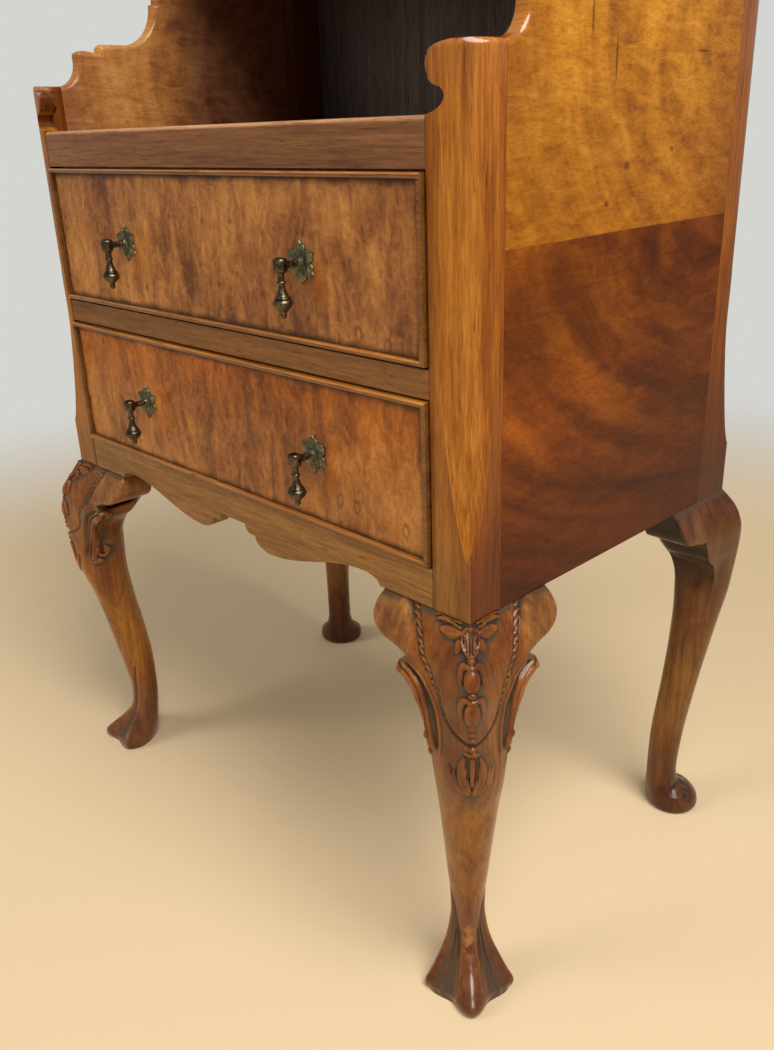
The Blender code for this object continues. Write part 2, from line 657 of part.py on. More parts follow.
# Runners, dust panels and stops under each drawer
def add_drawer_supports(word, opening, rail_depth, lining, parent):
    """Angled runners on the sides, a dust panel between them and a stop behind the drawer front."""
    seat = opening - GAP
    guide = RAIL_HALF
    inner = guide - RUNNER_SEAT
    front = max(FRONT_Y + rail_depth + GAP, PANEL_FRONT)
    profile = [(inner, seat - RUNNER_HEIGHT), (PANEL_INNER, seat - RUNNER_HEIGHT),
               (PANEL_INNER, seat + GUIDE_RISE), (guide, seat + GUIDE_RISE), (guide, seat), (inner, seat)]
    for hand, side in SIDES:
        outline = [(side * x, z) for x, z in profile]
        add_outline(f"{word}_{hand}_runner", outline, PANEL_REAR - front, FRONT_VIEW,
                    (0, (front + PANEL_REAR) / 2, 0), lining, parent)
    dust_half = inner - GAP
    top = seat - DUST_DROP
    add_box(f"{word}_dust_panel", (-dust_half, front, top - DUST_THICKNESS), (dust_half, PANEL_REAR, top),
            lining, parent)
    stop_front = FRONT_Y + FRONT_THICKNESS + GAP
    stop_low = seat + GAP
    add_box(f"{word}_drawer_stop", (-STOP_WIDTH / 2, stop_front, stop_low),
            (STOP_WIDTH / 2, stop_front + STOP_DEPTH, stop_low + STOP_HEIGHT), lining, parent)


# Drawers, each modelled from the middle of its lower front edge
def front_rings(half, height):
    """Sections of a drawer front from its face back, rebated round the edge for the bead."""
    def rectangle(y, inset):
        low, high, reach = inset, height - inset, half - inset
        return [Vector((-reach, y, low)), Vector((reach, y, low)), Vector((reach, y, high)),
                Vector((-reach, y, high))]

    rebate = BEAD_WIDTH + GAP
    shoulder = BEAD_DEPTH + GAP
    return [rectangle(0, rebate), rectangle(shoulder, rebate), rectangle(shoulder, 0),
            rectangle(FRONT_THICKNESS, 0)]


def bead_mesh(name, half, height):
    """A mitred frame with a half-round nose that stands proud of the drawer front."""
    radius = BEAD_WIDTH / 2
    nose = arc((radius, radius - BEAD_PROUD), radius, 180, 360)
    section = [(0.0, BEAD_DEPTH), *nose, (BEAD_WIDTH, BEAD_DEPTH)]
    corners = ((-half, 0, 1, 1), (half, 0, -1, 1), (half, height, -1, -1), (-half, height, 1, -1))
    shape = bmesh.new()
    loops = [[shape.verts.new((x + sx * d, y, z + sz * d)) for d, y in section] for x, z, sx, sz in corners]
    for i, loop in enumerate(loops):
        for j in range(len(section)):
            shape.faces.new((loops[i - 1][j - 1], loops[i - 1][j], loop[j], loop[j - 1]))
    bmesh.ops.recalc_face_normals(shape, faces=shape.faces)
    mesh = mesh_from_bmesh(name, shape)
    shade_round(mesh)
    return mesh


def add_drawer(word, opening, materials, parent):
    """A drawer box whose sides stand on the runners, and its two drop handles."""
    burr, bead, lining = materials["burr"], materials["bead"], materials["lining"]
    half = OPENING_WIDTH / 2 - DRAWER_PLAY
    height = DRAWER_OPENING - 2 * DRAWER_PLAY
    drawer = add_empty(f"{word}_drawer", parent, (0, FRONT_Y, opening + DRAWER_PLAY))
    handle_z = height / 2 - HANDLE_LOW

    name = f"{word}_drawer_front"
    front = add_object(name, loft_mesh(name, front_rings(half, height)), burr, drawer)
    add_object(f"{word}_cock_bead", bead_mesh(f"{word}_cock_bead", half, height), bead, drawer)

    inside = FRONT_THICKNESS + GAP
    length = BACK_FRONT - FRONT_Y - DRAWER_CLEAR_BEHIND
    top = height - LINING_DROP
    on_runner = -DRAWER_PLAY
    lining_inner = half - LINING_THICKNESS
    for hand, side in SIDES:
        low, high = sorted((side * lining_inner, side * half))
        add_box(f"{word}_drawer_{hand}_side", (low, inside, on_runner), (high, length, top), lining, drawer)
    bottom_top = BOTTOM_RISE + BOTTOM_THICKNESS
    across = lining_inner - GAP
    add_box(f"{word}_drawer_bottom", (-across, inside, BOTTOM_RISE), (across, length, bottom_top), lining,
            drawer)
    add_box(f"{word}_drawer_back", (-across, length - LINING_THICKNESS, bottom_top + GAP),
            (across, length, top), lining, drawer)

    drill = cylinder_mesh("handle_drill", SHANK_RADIUS + SHANK_PLAY, 4 * FRONT_THICKNESS)
    for hand, side in SIDES:
        centre = Vector((side * HANDLE_SPREAD, 0, handle_z))
        through = Matrix.Rotation(math.radians(90), 3, "Z")
        add_boolean(front, add_cutter(f"{word}_{hand}_drill", drill, drawer.location + centre, through),
                    "DIFFERENCE")
        add_handle(f"{word}_{hand}", centre, materials["brass"], drawer)


# Drop handles
def plate_outline():
    """A leaf with pointed lobes, one of them upright."""
    points = []
    stretch = PLATE_HALF_WIDTH / math.cos(math.pi / PLATE_LOBES)
    for turn in np.linspace(0, 2 * math.pi, PLATE_LOBES * PLATE_STEPS, endpoint=False):
        reach = 1 - PLATE_DIP * abs(math.sin(PLATE_LOBES * turn / 2))
        points.append((-stretch * reach * math.sin(turn), PLATE_HALF_HEIGHT * reach * math.cos(turn)))
    return points


def stem_end():
    """How far the round stem reaches, short of the pendant's swinging head."""
    swing = math.hypot(HEAD_RADIUS, HEAD_HALF_HEIGHT)
    return HANDLE_REACH - swing - 2 * PIVOT_PLAY


def handle_post_mesh(material):
    """Riveted shank, boss and stem, with a tongue and cross pin for the pendant; it points along +Z."""
    inner = -FRONT_THICKNESS - GAP
    face = GAP + PLATE_THICKNESS + GAP
    end = stem_end()
    profile = [(0, end), (STEM_RADIUS, end), (STEM_RADIUS, face + BOSS_LENGTH),
               (BOSS_RADIUS, face + BOSS_LENGTH / 2), (BOSS_RADIUS, face), (SHANK_RADIUS, face),
               (SHANK_RADIUS, inner), (RIVET_RADIUS, inner), (RIVET_RADIUS, inner - RIVET_THICKNESS),
               (0, inner - RIVET_THICKNESS)]
    piece = add_object("handle_post", turned_mesh("handle_post_turned", profile, material), material, None)
    root = end - STEM_RADIUS
    tongue = arc((HANDLE_REACH, 0), TONGUE_RADIUS, -90, 90, 2 * ARC_STEPS)
    tongue += [(root, TONGUE_RADIUS), (root, -TONGUE_RADIUS)]
    rings = [[Vector((x, v, u)) for u, v in tongue] for x in (-TONGUE_THICKNESS / 2, TONGUE_THICKNESS / 2)]
    add_boolean(piece, add_cutter("tongue_tool", loft_mesh("tongue_tool", rings), (0, 0, 0)), "UNION")
    pin = cylinder_mesh("pin_tool", PIN_RADIUS, PIN_LENGTH)
    add_boolean(piece, add_cutter("pin_tool", pin, (0, 0, HANDLE_REACH)), "UNION")
    return finished_mesh(piece, "handle_post")


def pendant_profile():
    """Turned drop: barrel head at the pivot, neck, vase, collar, bulb and tip."""
    profile = [(HEAD_RADIUS * r, HEAD_HALF_HEIGHT * t) for r, t in HEAD_SHAPE]
    z = -HEAD_HALF_HEIGHT
    profile += [(NECK_RADIUS * r, z - NECK_LENGTH * t) for r, t in NECK_SHAPE]
    z -= NECK_LENGTH + VASE_LENGTH
    profile += [(VASE_RADIUS, z), (COLLAR_RADIUS, z), (COLLAR_RADIUS, z - COLLAR_HEIGHT)]
    z -= COLLAR_HEIGHT
    profile += [(BULB_RADIUS * r, z - BULB_LENGTH * t) for r, t in BULB_SHAPE]
    z -= BULB_LENGTH
    return profile + [(TIP_RADIUS * r, z - TIP_LENGTH * t) for r, t in TIP_SHAPE]


def pendant_mesh(material):
    """The drop with a fork in its head, open above and behind, and a hole for the cross pin."""
    piece = add_object("pendant", turned_mesh("pendant_turned", pendant_profile(), material), material, None)
    half_slot = TONGUE_THICKNESS / 2 + PIVOT_PLAY
    reach = 2 * HEAD_RADIUS
    slot = box_mesh("slot_tool", (-half_slot, -reach, -FORK_FLOOR), (half_slot, reach, reach))
    add_boolean(piece, add_cutter("slot_tool", slot, (0, 0, 0)), "DIFFERENCE")
    hole = cylinder_mesh("hole_tool", PIN_RADIUS + PIVOT_PLAY, 4 * HEAD_RADIUS)
    add_boolean(piece, add_cutter("hole_tool", hole, (0, 0, 0)), "DIFFERENCE")
    return finished_mesh(piece, "pendant")


def add_handle(word, centre, brass, drawer):
    """Back plate, post and pendant of one drop handle; the pendant's origin is on its pivot."""
    outwards = Matrix.Rotation(math.radians(90), 3, "X")
    hole = arc((0, 0), SHANK_RADIUS + SHANK_PLAY, 0, 360 - 360 / TURNED_STEPS, TURNED_STEPS - 1)
    add_outline(f"{word}_handle_plate", plate_outline(), PLATE_THICKNESS, outwards,
                centre + Vector((0, -GAP - PLATE_THICKNESS / 2, 0)), brass, drawer, [hole])
    add_object(f"{word}_handle_post", shared["handle_post"], brass, drawer, centre, outwards)
    pivot = centre + Vector((0, -HANDLE_REACH, 0))
    add_object(f"{word}_pendant", shared["pendant"], brass, drawer, pivot)


# Legs and their ears
def add_legs(material, parent):
    for rear in (False, True):
        for word, side in SIDES:
            name = f"{'rear' if rear else 'front'}_{word}_leg"
            rings = []
            for height, section in leg_sections(rear):
                half = section_points(section)
                outline = half + [(out, -across) for out, across in reversed(half[1:-1])]
                rings.append([at_corner(side, rear, -(out + across) / ROOT_TWO, (across - out) / ROOT_TWO,
                                        height) for out, across in outline])
            add_object(name, loft_mesh(name, rings, smooth=True), material, parent)


def ear_ring(rear, drop_share, length_share):
    """Plan of an ear at one level, as distances along the face from the corner and in from the face."""
    drop = EAR_DROP * drop_share
    start = KNEE_BLOCK + GAP
    end = KNEE_BLOCK + EAR_LENGTH * length_share
    edge = min(EAR_EDGE, (end - start) / 2)
    face = -knee_swell(rear, drop)
    soft = edge * (1 - 1 / ROOT_TWO)
    return drop, [(start, EAR_DEPTH), (start, face), (end - edge, face), (end - soft, face + soft),
                  (end, face + edge), (end, EAR_DEPTH)]


def add_ears(material, parent):
    for rear in (False, True):
        rings = [ear_ring(rear, *shares) for shares in (REAR_EAR if rear else FRONT_EAR)]
        for word, side in SIDES:
            for place in ("end", "side"):
                name = f"{'rear' if rear else 'front'}_{word}_knee_ear_{place}"
                placed = []
                for drop, ring in rings:
                    height = LEG_HEIGHT - GAP - drop
                    turned = ring if place == "end" else [(b, a) for a, b in ring]
                    placed.append([at_corner(side, rear, a, b, height) for a, b in turned])
                add_object(name, loft_mesh(name, placed, smooth=True), material, parent)


# The whole cabinet
clear_scene()
parts = make_collection("bedside_cabinet")
cutters = make_collection("cutters")
palette = {
    "post": make_material("post_walnut", (0.27, 0.115, 0.03), 0.28),
    "veneer": make_material("veneer_walnut", (0.30, 0.12, 0.03), 0.25),
    "rail": make_material("rail_walnut", (0.17, 0.075, 0.025), 0.30),
    "leg": make_material("leg_walnut", (0.12, 0.045, 0.016), 0.30),
    "burr": make_material("burr_walnut", (0.31, 0.13, 0.035), 0.22),
    "bead": make_material("bead_walnut", (0.36, 0.17, 0.05), 0.28),
    "lining": make_material("drawer_oak", (0.45, 0.29, 0.14), 0.55),
    "brass": make_material("antique_brass", (0.13, 0.12, 0.095), 0.35, 1.0),
}
shared = {"handle_post": handle_post_mesh(palette["brass"]), "pendant": pendant_mesh(palette["brass"])}
cabinet = add_empty("bedside_cabinet", None)

add_posts(palette["post"], cabinet)
add_side_panels(palette["veneer"], cabinet)
add_rails(palette["rail"], cabinet)
add_boards(palette["rail"], palette["lining"], cabinet)
add_drawer_supports("lower", LOWER_OPENING, RAIL_THICKNESS, palette["lining"], cabinet)
add_drawer_supports("upper", UPPER_OPENING, DIVIDER_DEPTH, palette["lining"], cabinet)
add_drawer("lower", LOWER_OPENING, palette, cabinet)
add_drawer("upper", UPPER_OPENING, palette, cabinet)
add_legs(palette["leg"], cabinet)
add_ears(palette["leg"], cabinet)
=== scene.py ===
"""Looks of the walnut bedside cabinet: fine surfaces, finishes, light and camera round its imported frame.

Metres, +Z up, and the front faces -Y. Sizes come from the frame or are named here.
Carving and the profile of the drops are in millimetres.
"""

import json
import math

import bmesh
import bpy
import numpy as np
from mathutils import Matrix, Vector


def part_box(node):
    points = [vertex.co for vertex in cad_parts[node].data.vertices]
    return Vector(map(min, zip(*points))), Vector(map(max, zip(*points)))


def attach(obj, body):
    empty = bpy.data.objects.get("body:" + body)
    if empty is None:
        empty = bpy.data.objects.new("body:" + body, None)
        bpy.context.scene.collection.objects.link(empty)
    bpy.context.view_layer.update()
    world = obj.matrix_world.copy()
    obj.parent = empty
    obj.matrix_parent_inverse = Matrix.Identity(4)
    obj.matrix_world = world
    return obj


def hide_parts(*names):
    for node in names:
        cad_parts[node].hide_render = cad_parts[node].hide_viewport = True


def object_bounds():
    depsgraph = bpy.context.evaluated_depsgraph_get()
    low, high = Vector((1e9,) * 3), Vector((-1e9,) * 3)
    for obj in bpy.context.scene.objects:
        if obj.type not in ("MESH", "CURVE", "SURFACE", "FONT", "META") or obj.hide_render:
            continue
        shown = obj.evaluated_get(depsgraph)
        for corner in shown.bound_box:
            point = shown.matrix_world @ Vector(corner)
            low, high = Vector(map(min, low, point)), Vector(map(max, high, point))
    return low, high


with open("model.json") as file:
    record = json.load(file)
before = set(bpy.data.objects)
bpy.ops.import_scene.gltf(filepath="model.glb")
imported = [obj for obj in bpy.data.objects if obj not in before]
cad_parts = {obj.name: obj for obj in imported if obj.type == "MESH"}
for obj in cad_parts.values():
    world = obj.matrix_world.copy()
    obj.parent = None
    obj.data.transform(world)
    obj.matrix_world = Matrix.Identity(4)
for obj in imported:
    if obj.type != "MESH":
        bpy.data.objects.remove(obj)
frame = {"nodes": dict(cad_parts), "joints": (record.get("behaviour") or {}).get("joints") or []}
cad_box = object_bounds()

# Sizes read from the frame
POST_LOW, POST_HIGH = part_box("front_right_post")
REAR_POST_LOW, REAR_POST_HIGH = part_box("rear_right_post")
PANEL_LOW, PANEL_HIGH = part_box("right_side_panel")
FRONT_Y = POST_LOW.y
BACK_Y = REAR_POST_HIGH.y
CASE_HALF = POST_HIGH.x
OPENING_HALF = POST_LOW.x
CASE_BASE = POST_LOW.z
HEAD_TOP = POST_HIGH.z
RAIL_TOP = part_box("top_rail")[1].z
SHELF_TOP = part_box("upper_shelf")[1].z
LEG_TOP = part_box("front_right_leg")[1].z

MM = 0.001
GAP = 0.0003
WELD = 1e-6
QUARTER_TURN = math.radians(90)
SMOOTH_ANGLE = math.radians(38)
SIDES = (("left", -1), ("right", 1))
ENDS = (("front", False), ("rear", True))
DRAWERS = ("lower", "upper")
ARC_STEPS = 16

# Corner posts: quarter round that dies out to a pointed tongue, and the scrolled head of the front ones
POST_ROUND = 0.033
POST_ARRIS = 0.0008
POST_RUB = 0.0012
TONGUE_POINT = 0.046
TONGUE_LENGTH = 0.165
TONGUE_BULGE = 0.42
TONGUE_CURVE = 0.62
TONGUE_ROWS = 28
TONGUE_CROWDING = 1.6
POST_SMOOTH = math.radians(14)
HEAD_COVE = (0.0175, 0.0098)
HEAD_COVE_REACH = 0.0142
HEAD_CUSP = 0.0150
HEAD_CURL = (0.0130, 0.0200)
HEAD_CURL_MIDDLE = 0.0280
HEAD_NOSE = 0.0048
HEAD_FLANGE = 0.0145
HEAD_ARRIS = 0.0014
HEAD_STEP = 0.0002

# Scrolled front edge of the sides: a small cove, a lip, a step and a large cove, used twice
SMALL_COVE = 0.022
SCROLL_LIP = 0.010
SCROLL_FALL = 0.002
SCROLL_BUMP = 0.025
SCROLL_STEP = 0.006
SCROLL_FLAT = 0.030
LARGE_COVE = 0.038
SCROLL_SETBACK = 0.004
SHOULDER_RISE = 0.024
SHOULDER_ROUND = 0.010
SCROLL_RUN = SMALL_COVE + SCROLL_BUMP + SCROLL_FLAT + LARGE_COVE
SIDE_NOSE = 0.0048
SIDE_MARGIN = 0.012

# Rails and boards
RAIL_NOSE = 0.0036
RAIL_ARRIS = 0.0008
RAIL_END_ARRIS = 0.0003
BOARD_ARRIS = 0.0010
LINING_ARRIS = 0.0006
APRON_ARCH = 0.018
APRON_ARCH_RISE = 0.005
APRON_COVE = 0.008
APRON_FILLET = 0.006
APRON_DROP = 0.015
APRON_OVOLO = 0.021
APRON_HOLLOW_RISE = 0.0078
APRON_END_COVE = 0.018
GALLERY_END = 0.062
GALLERY_CREST = 0.086
GALLERY_SHOULDER = 0.060
GALLERY_COVE = 0.018
GALLERY_ARRIS = 0.003

# Cock beads
BEAD_WIDTH = 0.0048
BEAD_INSET = 0.0009
BEAD_PROUD = 0.0045
BEAD_DEPTH = 0.007
BEAD_SMOOTH = math.radians(30)

# Drop handles
HANDLE_REACH = 0.020
PLATE_LOBES = 6
PLATE_RINGS = 26
PLATE_SPOKES = 144
PLATE_BORE = 0.16
PLATE_RELIEF = 0.0010
PLATE_EDGE = 0.0003
PLATE_SMOOTH = math.radians(50)
PLATE_LOBE = 0.86
PLATE_NOTCH = 0.22
PLATE_NIB = 0.14
PLATE_STRETCH = 1.15
PLATE_CURL = 0.72
PLATE_VEIN_END = 0.62
STEM_FACE = 0.0022
STEM_END = 0.0119
RIVET_HEAD = 0.0015
LUG_HALF = (0.0015, 0.0024)
LUG_ROOT = 0.002
PIN_PROFILE = ((0.0010, 0.0044), (0.0012, 0.0042))
HOLE_PROFILE = ((0.0015, 0.02),)
SLOT_LOW = (-0.0018, -0.0028, -0.0042)
SLOT_HIGH = (0.0018, 0.012, 0.012)
TURNED_STEPS = 48
STEM_STEPS = 32
PIN_STEPS = 20
LUG_STEPS = 24

# Rotations that stand a flat outline up: outline axes to world axes
FRONT_VIEW = Matrix(((1, 0, 0), (0, 0, -1), (0, 1, 0)))
SIDE_VIEW = Matrix(((0, 0, 1), (1, 0, 0), (0, 1, 0)))


# Mesh helpers
def shape_of(mesh):
    """A mesh's shape, ready to be edited."""
    shape = bmesh.new()
    shape.from_mesh(mesh)
    return shape


def filled(mesh, shape):
    """Put an edited shape into a mesh."""
    shape.to_mesh(mesh)
    shape.free()
    return mesh


def finish_mesh(mesh, smooth=SMOOTH_ANGLE):
    """Point all faces out and shade the mesh smooth between its crisp edges."""
    shape = shape_of(mesh)
    bmesh.ops.recalc_face_normals(shape, faces=shape.faces)
    filled(mesh, shape)
    mesh.shade_smooth()
    mesh.set_sharp_from_angle(angle=smooth)
    return mesh


def loft_mesh(name, rings, smooth=SMOOTH_ANGLE):
    """A closed body through rings of equally many points, with a cap at each end."""
    rings = np.asarray(rings, float)
    rows, columns = rings.shape[:2]
    index = np.arange(rows * columns).reshape(rows, columns)
    turned = np.roll(index, -1, axis=1)
    quads = np.stack((index[:-1], turned[:-1], turned[1:], index[1:]), axis=-1).reshape(-1, 4)
    caps = [index[0].tolist(), index[-1].tolist()]
    mesh = bpy.data.meshes.new(name)
    mesh.from_pydata(rings.reshape(-1, 3).tolist(), [], quads.tolist() + caps)
    return finish_mesh(mesh, smooth)


def evaluated_mesh(piece, name):
    """The mesh that an object has after its modifiers; the object itself is removed."""
    graph = bpy.context.evaluated_depsgraph_get()
    mesh = bpy.data.meshes.new_from_object(piece.evaluated_get(graph))
    mesh.name = name
    bpy.data.objects.remove(piece)
    return mesh


def new_object(name, data):
    """An object with this data, in the scene."""
    piece = bpy.data.objects.new(name, data)
    bpy.context.scene.collection.objects.link(piece)
    return piece


def cut_flat(mesh, cuts):
    """Trim a mesh at planes, each a point and the direction that is cut away, and close the cuts."""
    shape = shape_of(mesh)
    bmesh.ops.remove_doubles(shape, verts=shape.verts, dist=WELD)
    for point, outward in cuts:
        geometry = shape.verts[:] + shape.edges[:] + shape.faces[:]
        found = bmesh.ops.bisect_plane(shape, geom=geometry, plane_co=point, plane_no=outward,
                                       clear_outer=True)
        rim = [item for item in found["geom_cut"] if isinstance(item, bmesh.types.BMEdge)]
        bmesh.ops.contextual_create(shape, geom=rim)
    return filled(mesh, shape)


def board_mesh(name, outline, thickness, nose, view, location, cuts=()):
    """A flat outline made a board whose edges are rounded."""
    curve = bpy.data.curves.new(name, "CURVE")
    curve.dimensions = "2D"
    curve.fill_mode = "BOTH"
    curve.extrude = thickness / 2 - nose
    curve.bevel_depth = nose
    curve.bevel_resolution = 4
    curve.offset = -nose
    spline = curve.splines.new("POLY")
    spline.points.add(len(outline) - 1)
    for point, (u, v) in zip(spline.points, outline):
        point.co = (u, v, 0, 1)
    spline.use_cyclic_u = True
    mesh = evaluated_mesh(new_object(name, curve), name)
    mesh.transform(Matrix.Translation(location) @ view.to_4x4())
    return finish_mesh(cut_flat(mesh, cuts))


def softened_mesh(node, width):
    """The frame's own shape with its arrises worn round."""
    shape = shape_of(frame["nodes"][node].data)
    bmesh.ops.remove_doubles(shape, verts=shape.verts, dist=WELD)
    bmesh.ops.dissolve_limit(shape, angle_limit=math.radians(1), verts=shape.verts, edges=shape.edges)
    sharp = [edge for edge in shape.edges if edge.is_manifold and edge.calc_face_angle() > SMOOTH_ANGLE]
    bmesh.ops.bevel(shape, geom=sharp, offset=width, offset_type="OFFSET", segments=3, profile=0.5,
                    affect="EDGES", clamp_overlap=True)
    return finish_mesh(filled(bpy.data.meshes.new(node), shape))


def turned_mesh(name, profile, steps=TURNED_STEPS):
    """A solid turned about Z from (radius, height) points that run down from the axis to the axis."""
    turns = np.linspace(0, 2 * math.pi, steps, endpoint=False)
    rings = [[(r * math.cos(t), r * math.sin(t), z) for t in turns] for r, z in profile[1:-1]]
    return loft_mesh(name, rings)


def joined_mesh(name, mesh, operations):
    """A mesh cut or joined by tools, each a Boolean operation and the tool's mesh."""
    piece = new_object(name, mesh)
    tools = []
    for operation, tool in operations:
        tools.append(new_object(name + "_tool", tool))
        modifier = piece.modifiers.new(operation, "BOOLEAN")
        modifier.operation = operation
        modifier.object = tools[-1]
    result = evaluated_mesh(piece, name)
    for tool in tools:
        bpy.data.objects.remove(tool)
    return finish_mesh(result)


def box_mesh(low, high):
    """A plain box between two corners."""
    shape = bmesh.new()
    size = [b - a for a, b in zip(low, high)]
    middle = [(a + b) / 2 for a, b in zip(low, high)]
    bmesh.ops.create_cube(shape, size=1, matrix=Matrix.Translation(middle) @ Matrix.Diagonal((*size, 1)))
    return filled(bpy.data.meshes.new("box"), shape)


def to_world(points, side, rear):
    """Corner coordinates (out to the side, in from the face, height) as world points."""
    depth = BACK_Y - points[..., 1] if rear else FRONT_Y + points[..., 1]
    return np.stack((side * (CASE_HALF + points[..., 0]), depth, points[..., 2]), axis=-1)


def store(mesh, name, values):
    """Keep a value for each point of a mesh, to be read by its finish."""
    kept = mesh.attributes.new(name, "FLOAT", "POINT")
    kept.data.foreach_set("value", values.astype(np.float32).ravel())


def add_piece(node, mesh, slot, body="cabinet", flat_faces=False):
    """A piece that stands for a node of the frame, with the finish of its slot."""
    piece = new_object(node + "_finished", mesh)
    mesh.materials.clear()
    mesh.materials.append(finishes[slot])
    if flat_faces:
        modifier = piece.modifiers.new("Weighted normals", "WEIGHTED_NORMAL")
        modifier.keep_sharp = True
    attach(piece, body)
    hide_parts(node)


# Outline helpers
def arc(centre, radius, start, end, steps=ARC_STEPS):
    """Points of an arc between two angles in degrees, both ends included."""
    angles = np.radians(np.linspace(start, end, steps + 1))
    return [(centre[0] + radius * math.cos(a), centre[1] + radius * math.sin(a)) for a in angles]


def mirrored(half):
    """A symmetric run of points from its right half, which starts at the middle."""
    return [(-u, v) for u, v in reversed(half) if u > 0] + list(half)


def ease(t):
    """A soft step from 0 to 1 as t runs from 0 to 1."""
    t = np.clip(t, 0.0, 1.0)
    return t * t * (3 - 2 * t)


def bell(x, width):
    """A bell curve, one in the middle and nearly nothing at twice the width."""
    return np.exp(-(x / width) ** 2)


def smooth_line(points, steps=10):
    """A smooth open line through a few points."""
    points = np.asarray(points, float)
    padded = np.vstack((2 * points[0] - points[1], points, 2 * points[-1] - points[-2]))
    t = np.linspace(0, 1, steps, endpoint=False)[:, None]
    runs = []
    for a, b, c, d in zip(padded, padded[1:], padded[2:], padded[3:]):
        runs.append(b + 0.5 * t * (c - a + t * (2 * a - 5 * b + 4 * c - d + t * (3 * (b - c) + d - a))))
    return np.vstack((*runs, points[-1:]))


# Shader nodes
class Value:
    """Output of a node that is added, subtracted and multiplied like a number; each step is a node."""

    def __init__(self, finish, socket):
        self.finish = finish
        self.socket = socket

    def __add__(self, other):
        return self.finish.math("ADD", self, other)

    def __sub__(self, other):
        return self.finish.math("SUBTRACT", self, other)

    def __rsub__(self, other):
        return self.finish.math("SUBTRACT", other, self)

    def __mul__(self, other):
        return self.finish.math("MULTIPLY", self, other)

    def __abs__(self):
        return self.finish.math("ABSOLUTE", self)


class Finish:
    """A material with short calls for the nodes that its pattern is made of."""

    def __init__(self, name):
        self.material = bpy.data.materials.new(name)
        self.material.use_nodes = True
        self.tree = self.material.node_tree
        self.surface = self.tree.nodes["Principled BSDF"]
        self.place = self.value("Object", "ShaderNodeTexCoord")

    def node(self, kind, inputs=(), **settings):
        """A new node with its inputs linked or set."""
        made = self.tree.nodes.new(kind)
        for key, value in settings.items():
            setattr(made, key, value)
        for socket, value in inputs:
            self.feed(made.inputs[socket], value)
        return made

    def value(self, output, kind, inputs=(), **settings):
        """One output of a new node."""
        return Value(self, self.node(kind, inputs, **settings).outputs[output])

    def feed(self, socket, value):
        """Link a value to a socket, or set the socket to a constant."""
        if isinstance(value, Value):
            self.tree.links.new(value.socket, socket)
        else:
            socket.default_value = value

    def set(self, **values):
        """Set the surface's sockets, named with _ for a space."""
        for key, value in values.items():
            self.feed(self.surface.inputs[key.replace("_", " ")], value)

    def vector_math(self, operation, vector, other, output=0):
        """A step of vector arithmetic, on the place of each point unless a vector is given."""
        inputs = ((0, vector or self.place), (1, other))
        return self.value(output, "ShaderNodeVectorMath", inputs, operation=operation)

    def scaled(self, factors, vector=None):
        """A vector with each part multiplied."""
        return self.vector_math("MULTIPLY", vector, factors)

    def shifted(self, offset, vector=None):
        """A vector moved by an offset."""
        return self.vector_math("ADD", vector, offset)

    def length(self, vector=None):
        """Length of a vector."""
        return self.vector_math("LENGTH", vector, (0, 0, 0), "Value")

    def parts(self, vector):
        """The three parts of a vector."""
        made = self.node("ShaderNodeSeparateXYZ", ((0, vector),))
        return [Value(self, socket) for socket in made.outputs]

    def axes(self):
        """Parts of the place of each point."""
        return self.parts(self.place)

    def facing(self):
        """Parts of the direction that the surface faces."""
        return self.parts(self.value("Normal", "ShaderNodeNewGeometry"))

    def plane(self, x, y):
        """A vector from two parts."""
        return self.value(0, "ShaderNodeCombineXYZ", ((0, x), (1, y)))

    def noise(self, vector, scale, detail=3.0, rough=0.55, warp=0.0):
        """Soft noise over a vector."""
        inputs = (("Vector", vector), ("Scale", scale), ("Detail", detail), ("Roughness", rough),
                  ("Distortion", warp))
        return self.value("Fac", "ShaderNodeTexNoise", inputs)

    def math(self, operation, a, b=0.0):
        """A step of arithmetic."""
        return self.value(0, "ShaderNodeMath", ((0, a), (1, b)), operation=operation)

    def extreme(self, operation, values):
        """The least or the greatest of several values."""
        found = values[0]
        for value in values[1:]:
            found = self.math(operation, found, value)
        return found

    def between(self, value, low, high, to_low=0.0, to_high=1.0):
        """A soft step from one figure at low to another at high, which may lie below low."""
        inputs = (("Value", value), ("From Min", low), ("From Max", high), ("To Min", to_low),
                  ("To Max", to_high))
        return self.value(0, "ShaderNodeMapRange", inputs, interpolation_type="SMOOTHSTEP")

    def ramp(self, value, *stops):
        """Colour between stops, each a position and a colour."""
        made = self.node("ShaderNodeValToRGB", (("Fac", value),))
        elements = made.color_ramp.elements
        while len(elements) < len(stops):
            elements.new(0.5)
        for element, (position, rgb) in zip(elements, stops):
            element.position = position
            element.color = colour(*rgb)
        return Value(self, made.outputs["Color"])

    def mix(self, share, a, b, blend="MIX"):
        """A blend of two colours."""
        inputs = ((0, share), (6, a), (7, b))
        return self.value(2, "ShaderNodeMix", inputs, data_type="RGBA", blend_type=blend)

    def multiplied(self, base, tint):
        """A colour multiplied by a tint."""
        return self.mix(1.0, base, colour(*tint), "MULTIPLY")

    def tinted(self, share, tint):
        """Multiply the base colour by a tint where the share is high."""
        self.base = self.mix(share, self.base, self.multiplied(self.base, tint))

    def covered(self, share, rgb):
        """Lay a plain colour over the base where the share is high."""
        self.base = self.mix(share, self.base, colour(*rgb))

    def attribute(self, name):
        """A value kept with each point of the mesh."""
        return self.value("Fac", "ShaderNodeAttribute", attribute_name=name)

    def bump(self, height, distance):
        """Give the surface a fine relief."""
        inputs = (("Height", height), ("Distance", distance), ("Strength", 1.0))
        self.set(Normal=self.value(0, "ShaderNodeBump", inputs))


def colour(*rgb):
    """An opaque colour."""
    return (*rgb, 1.0)


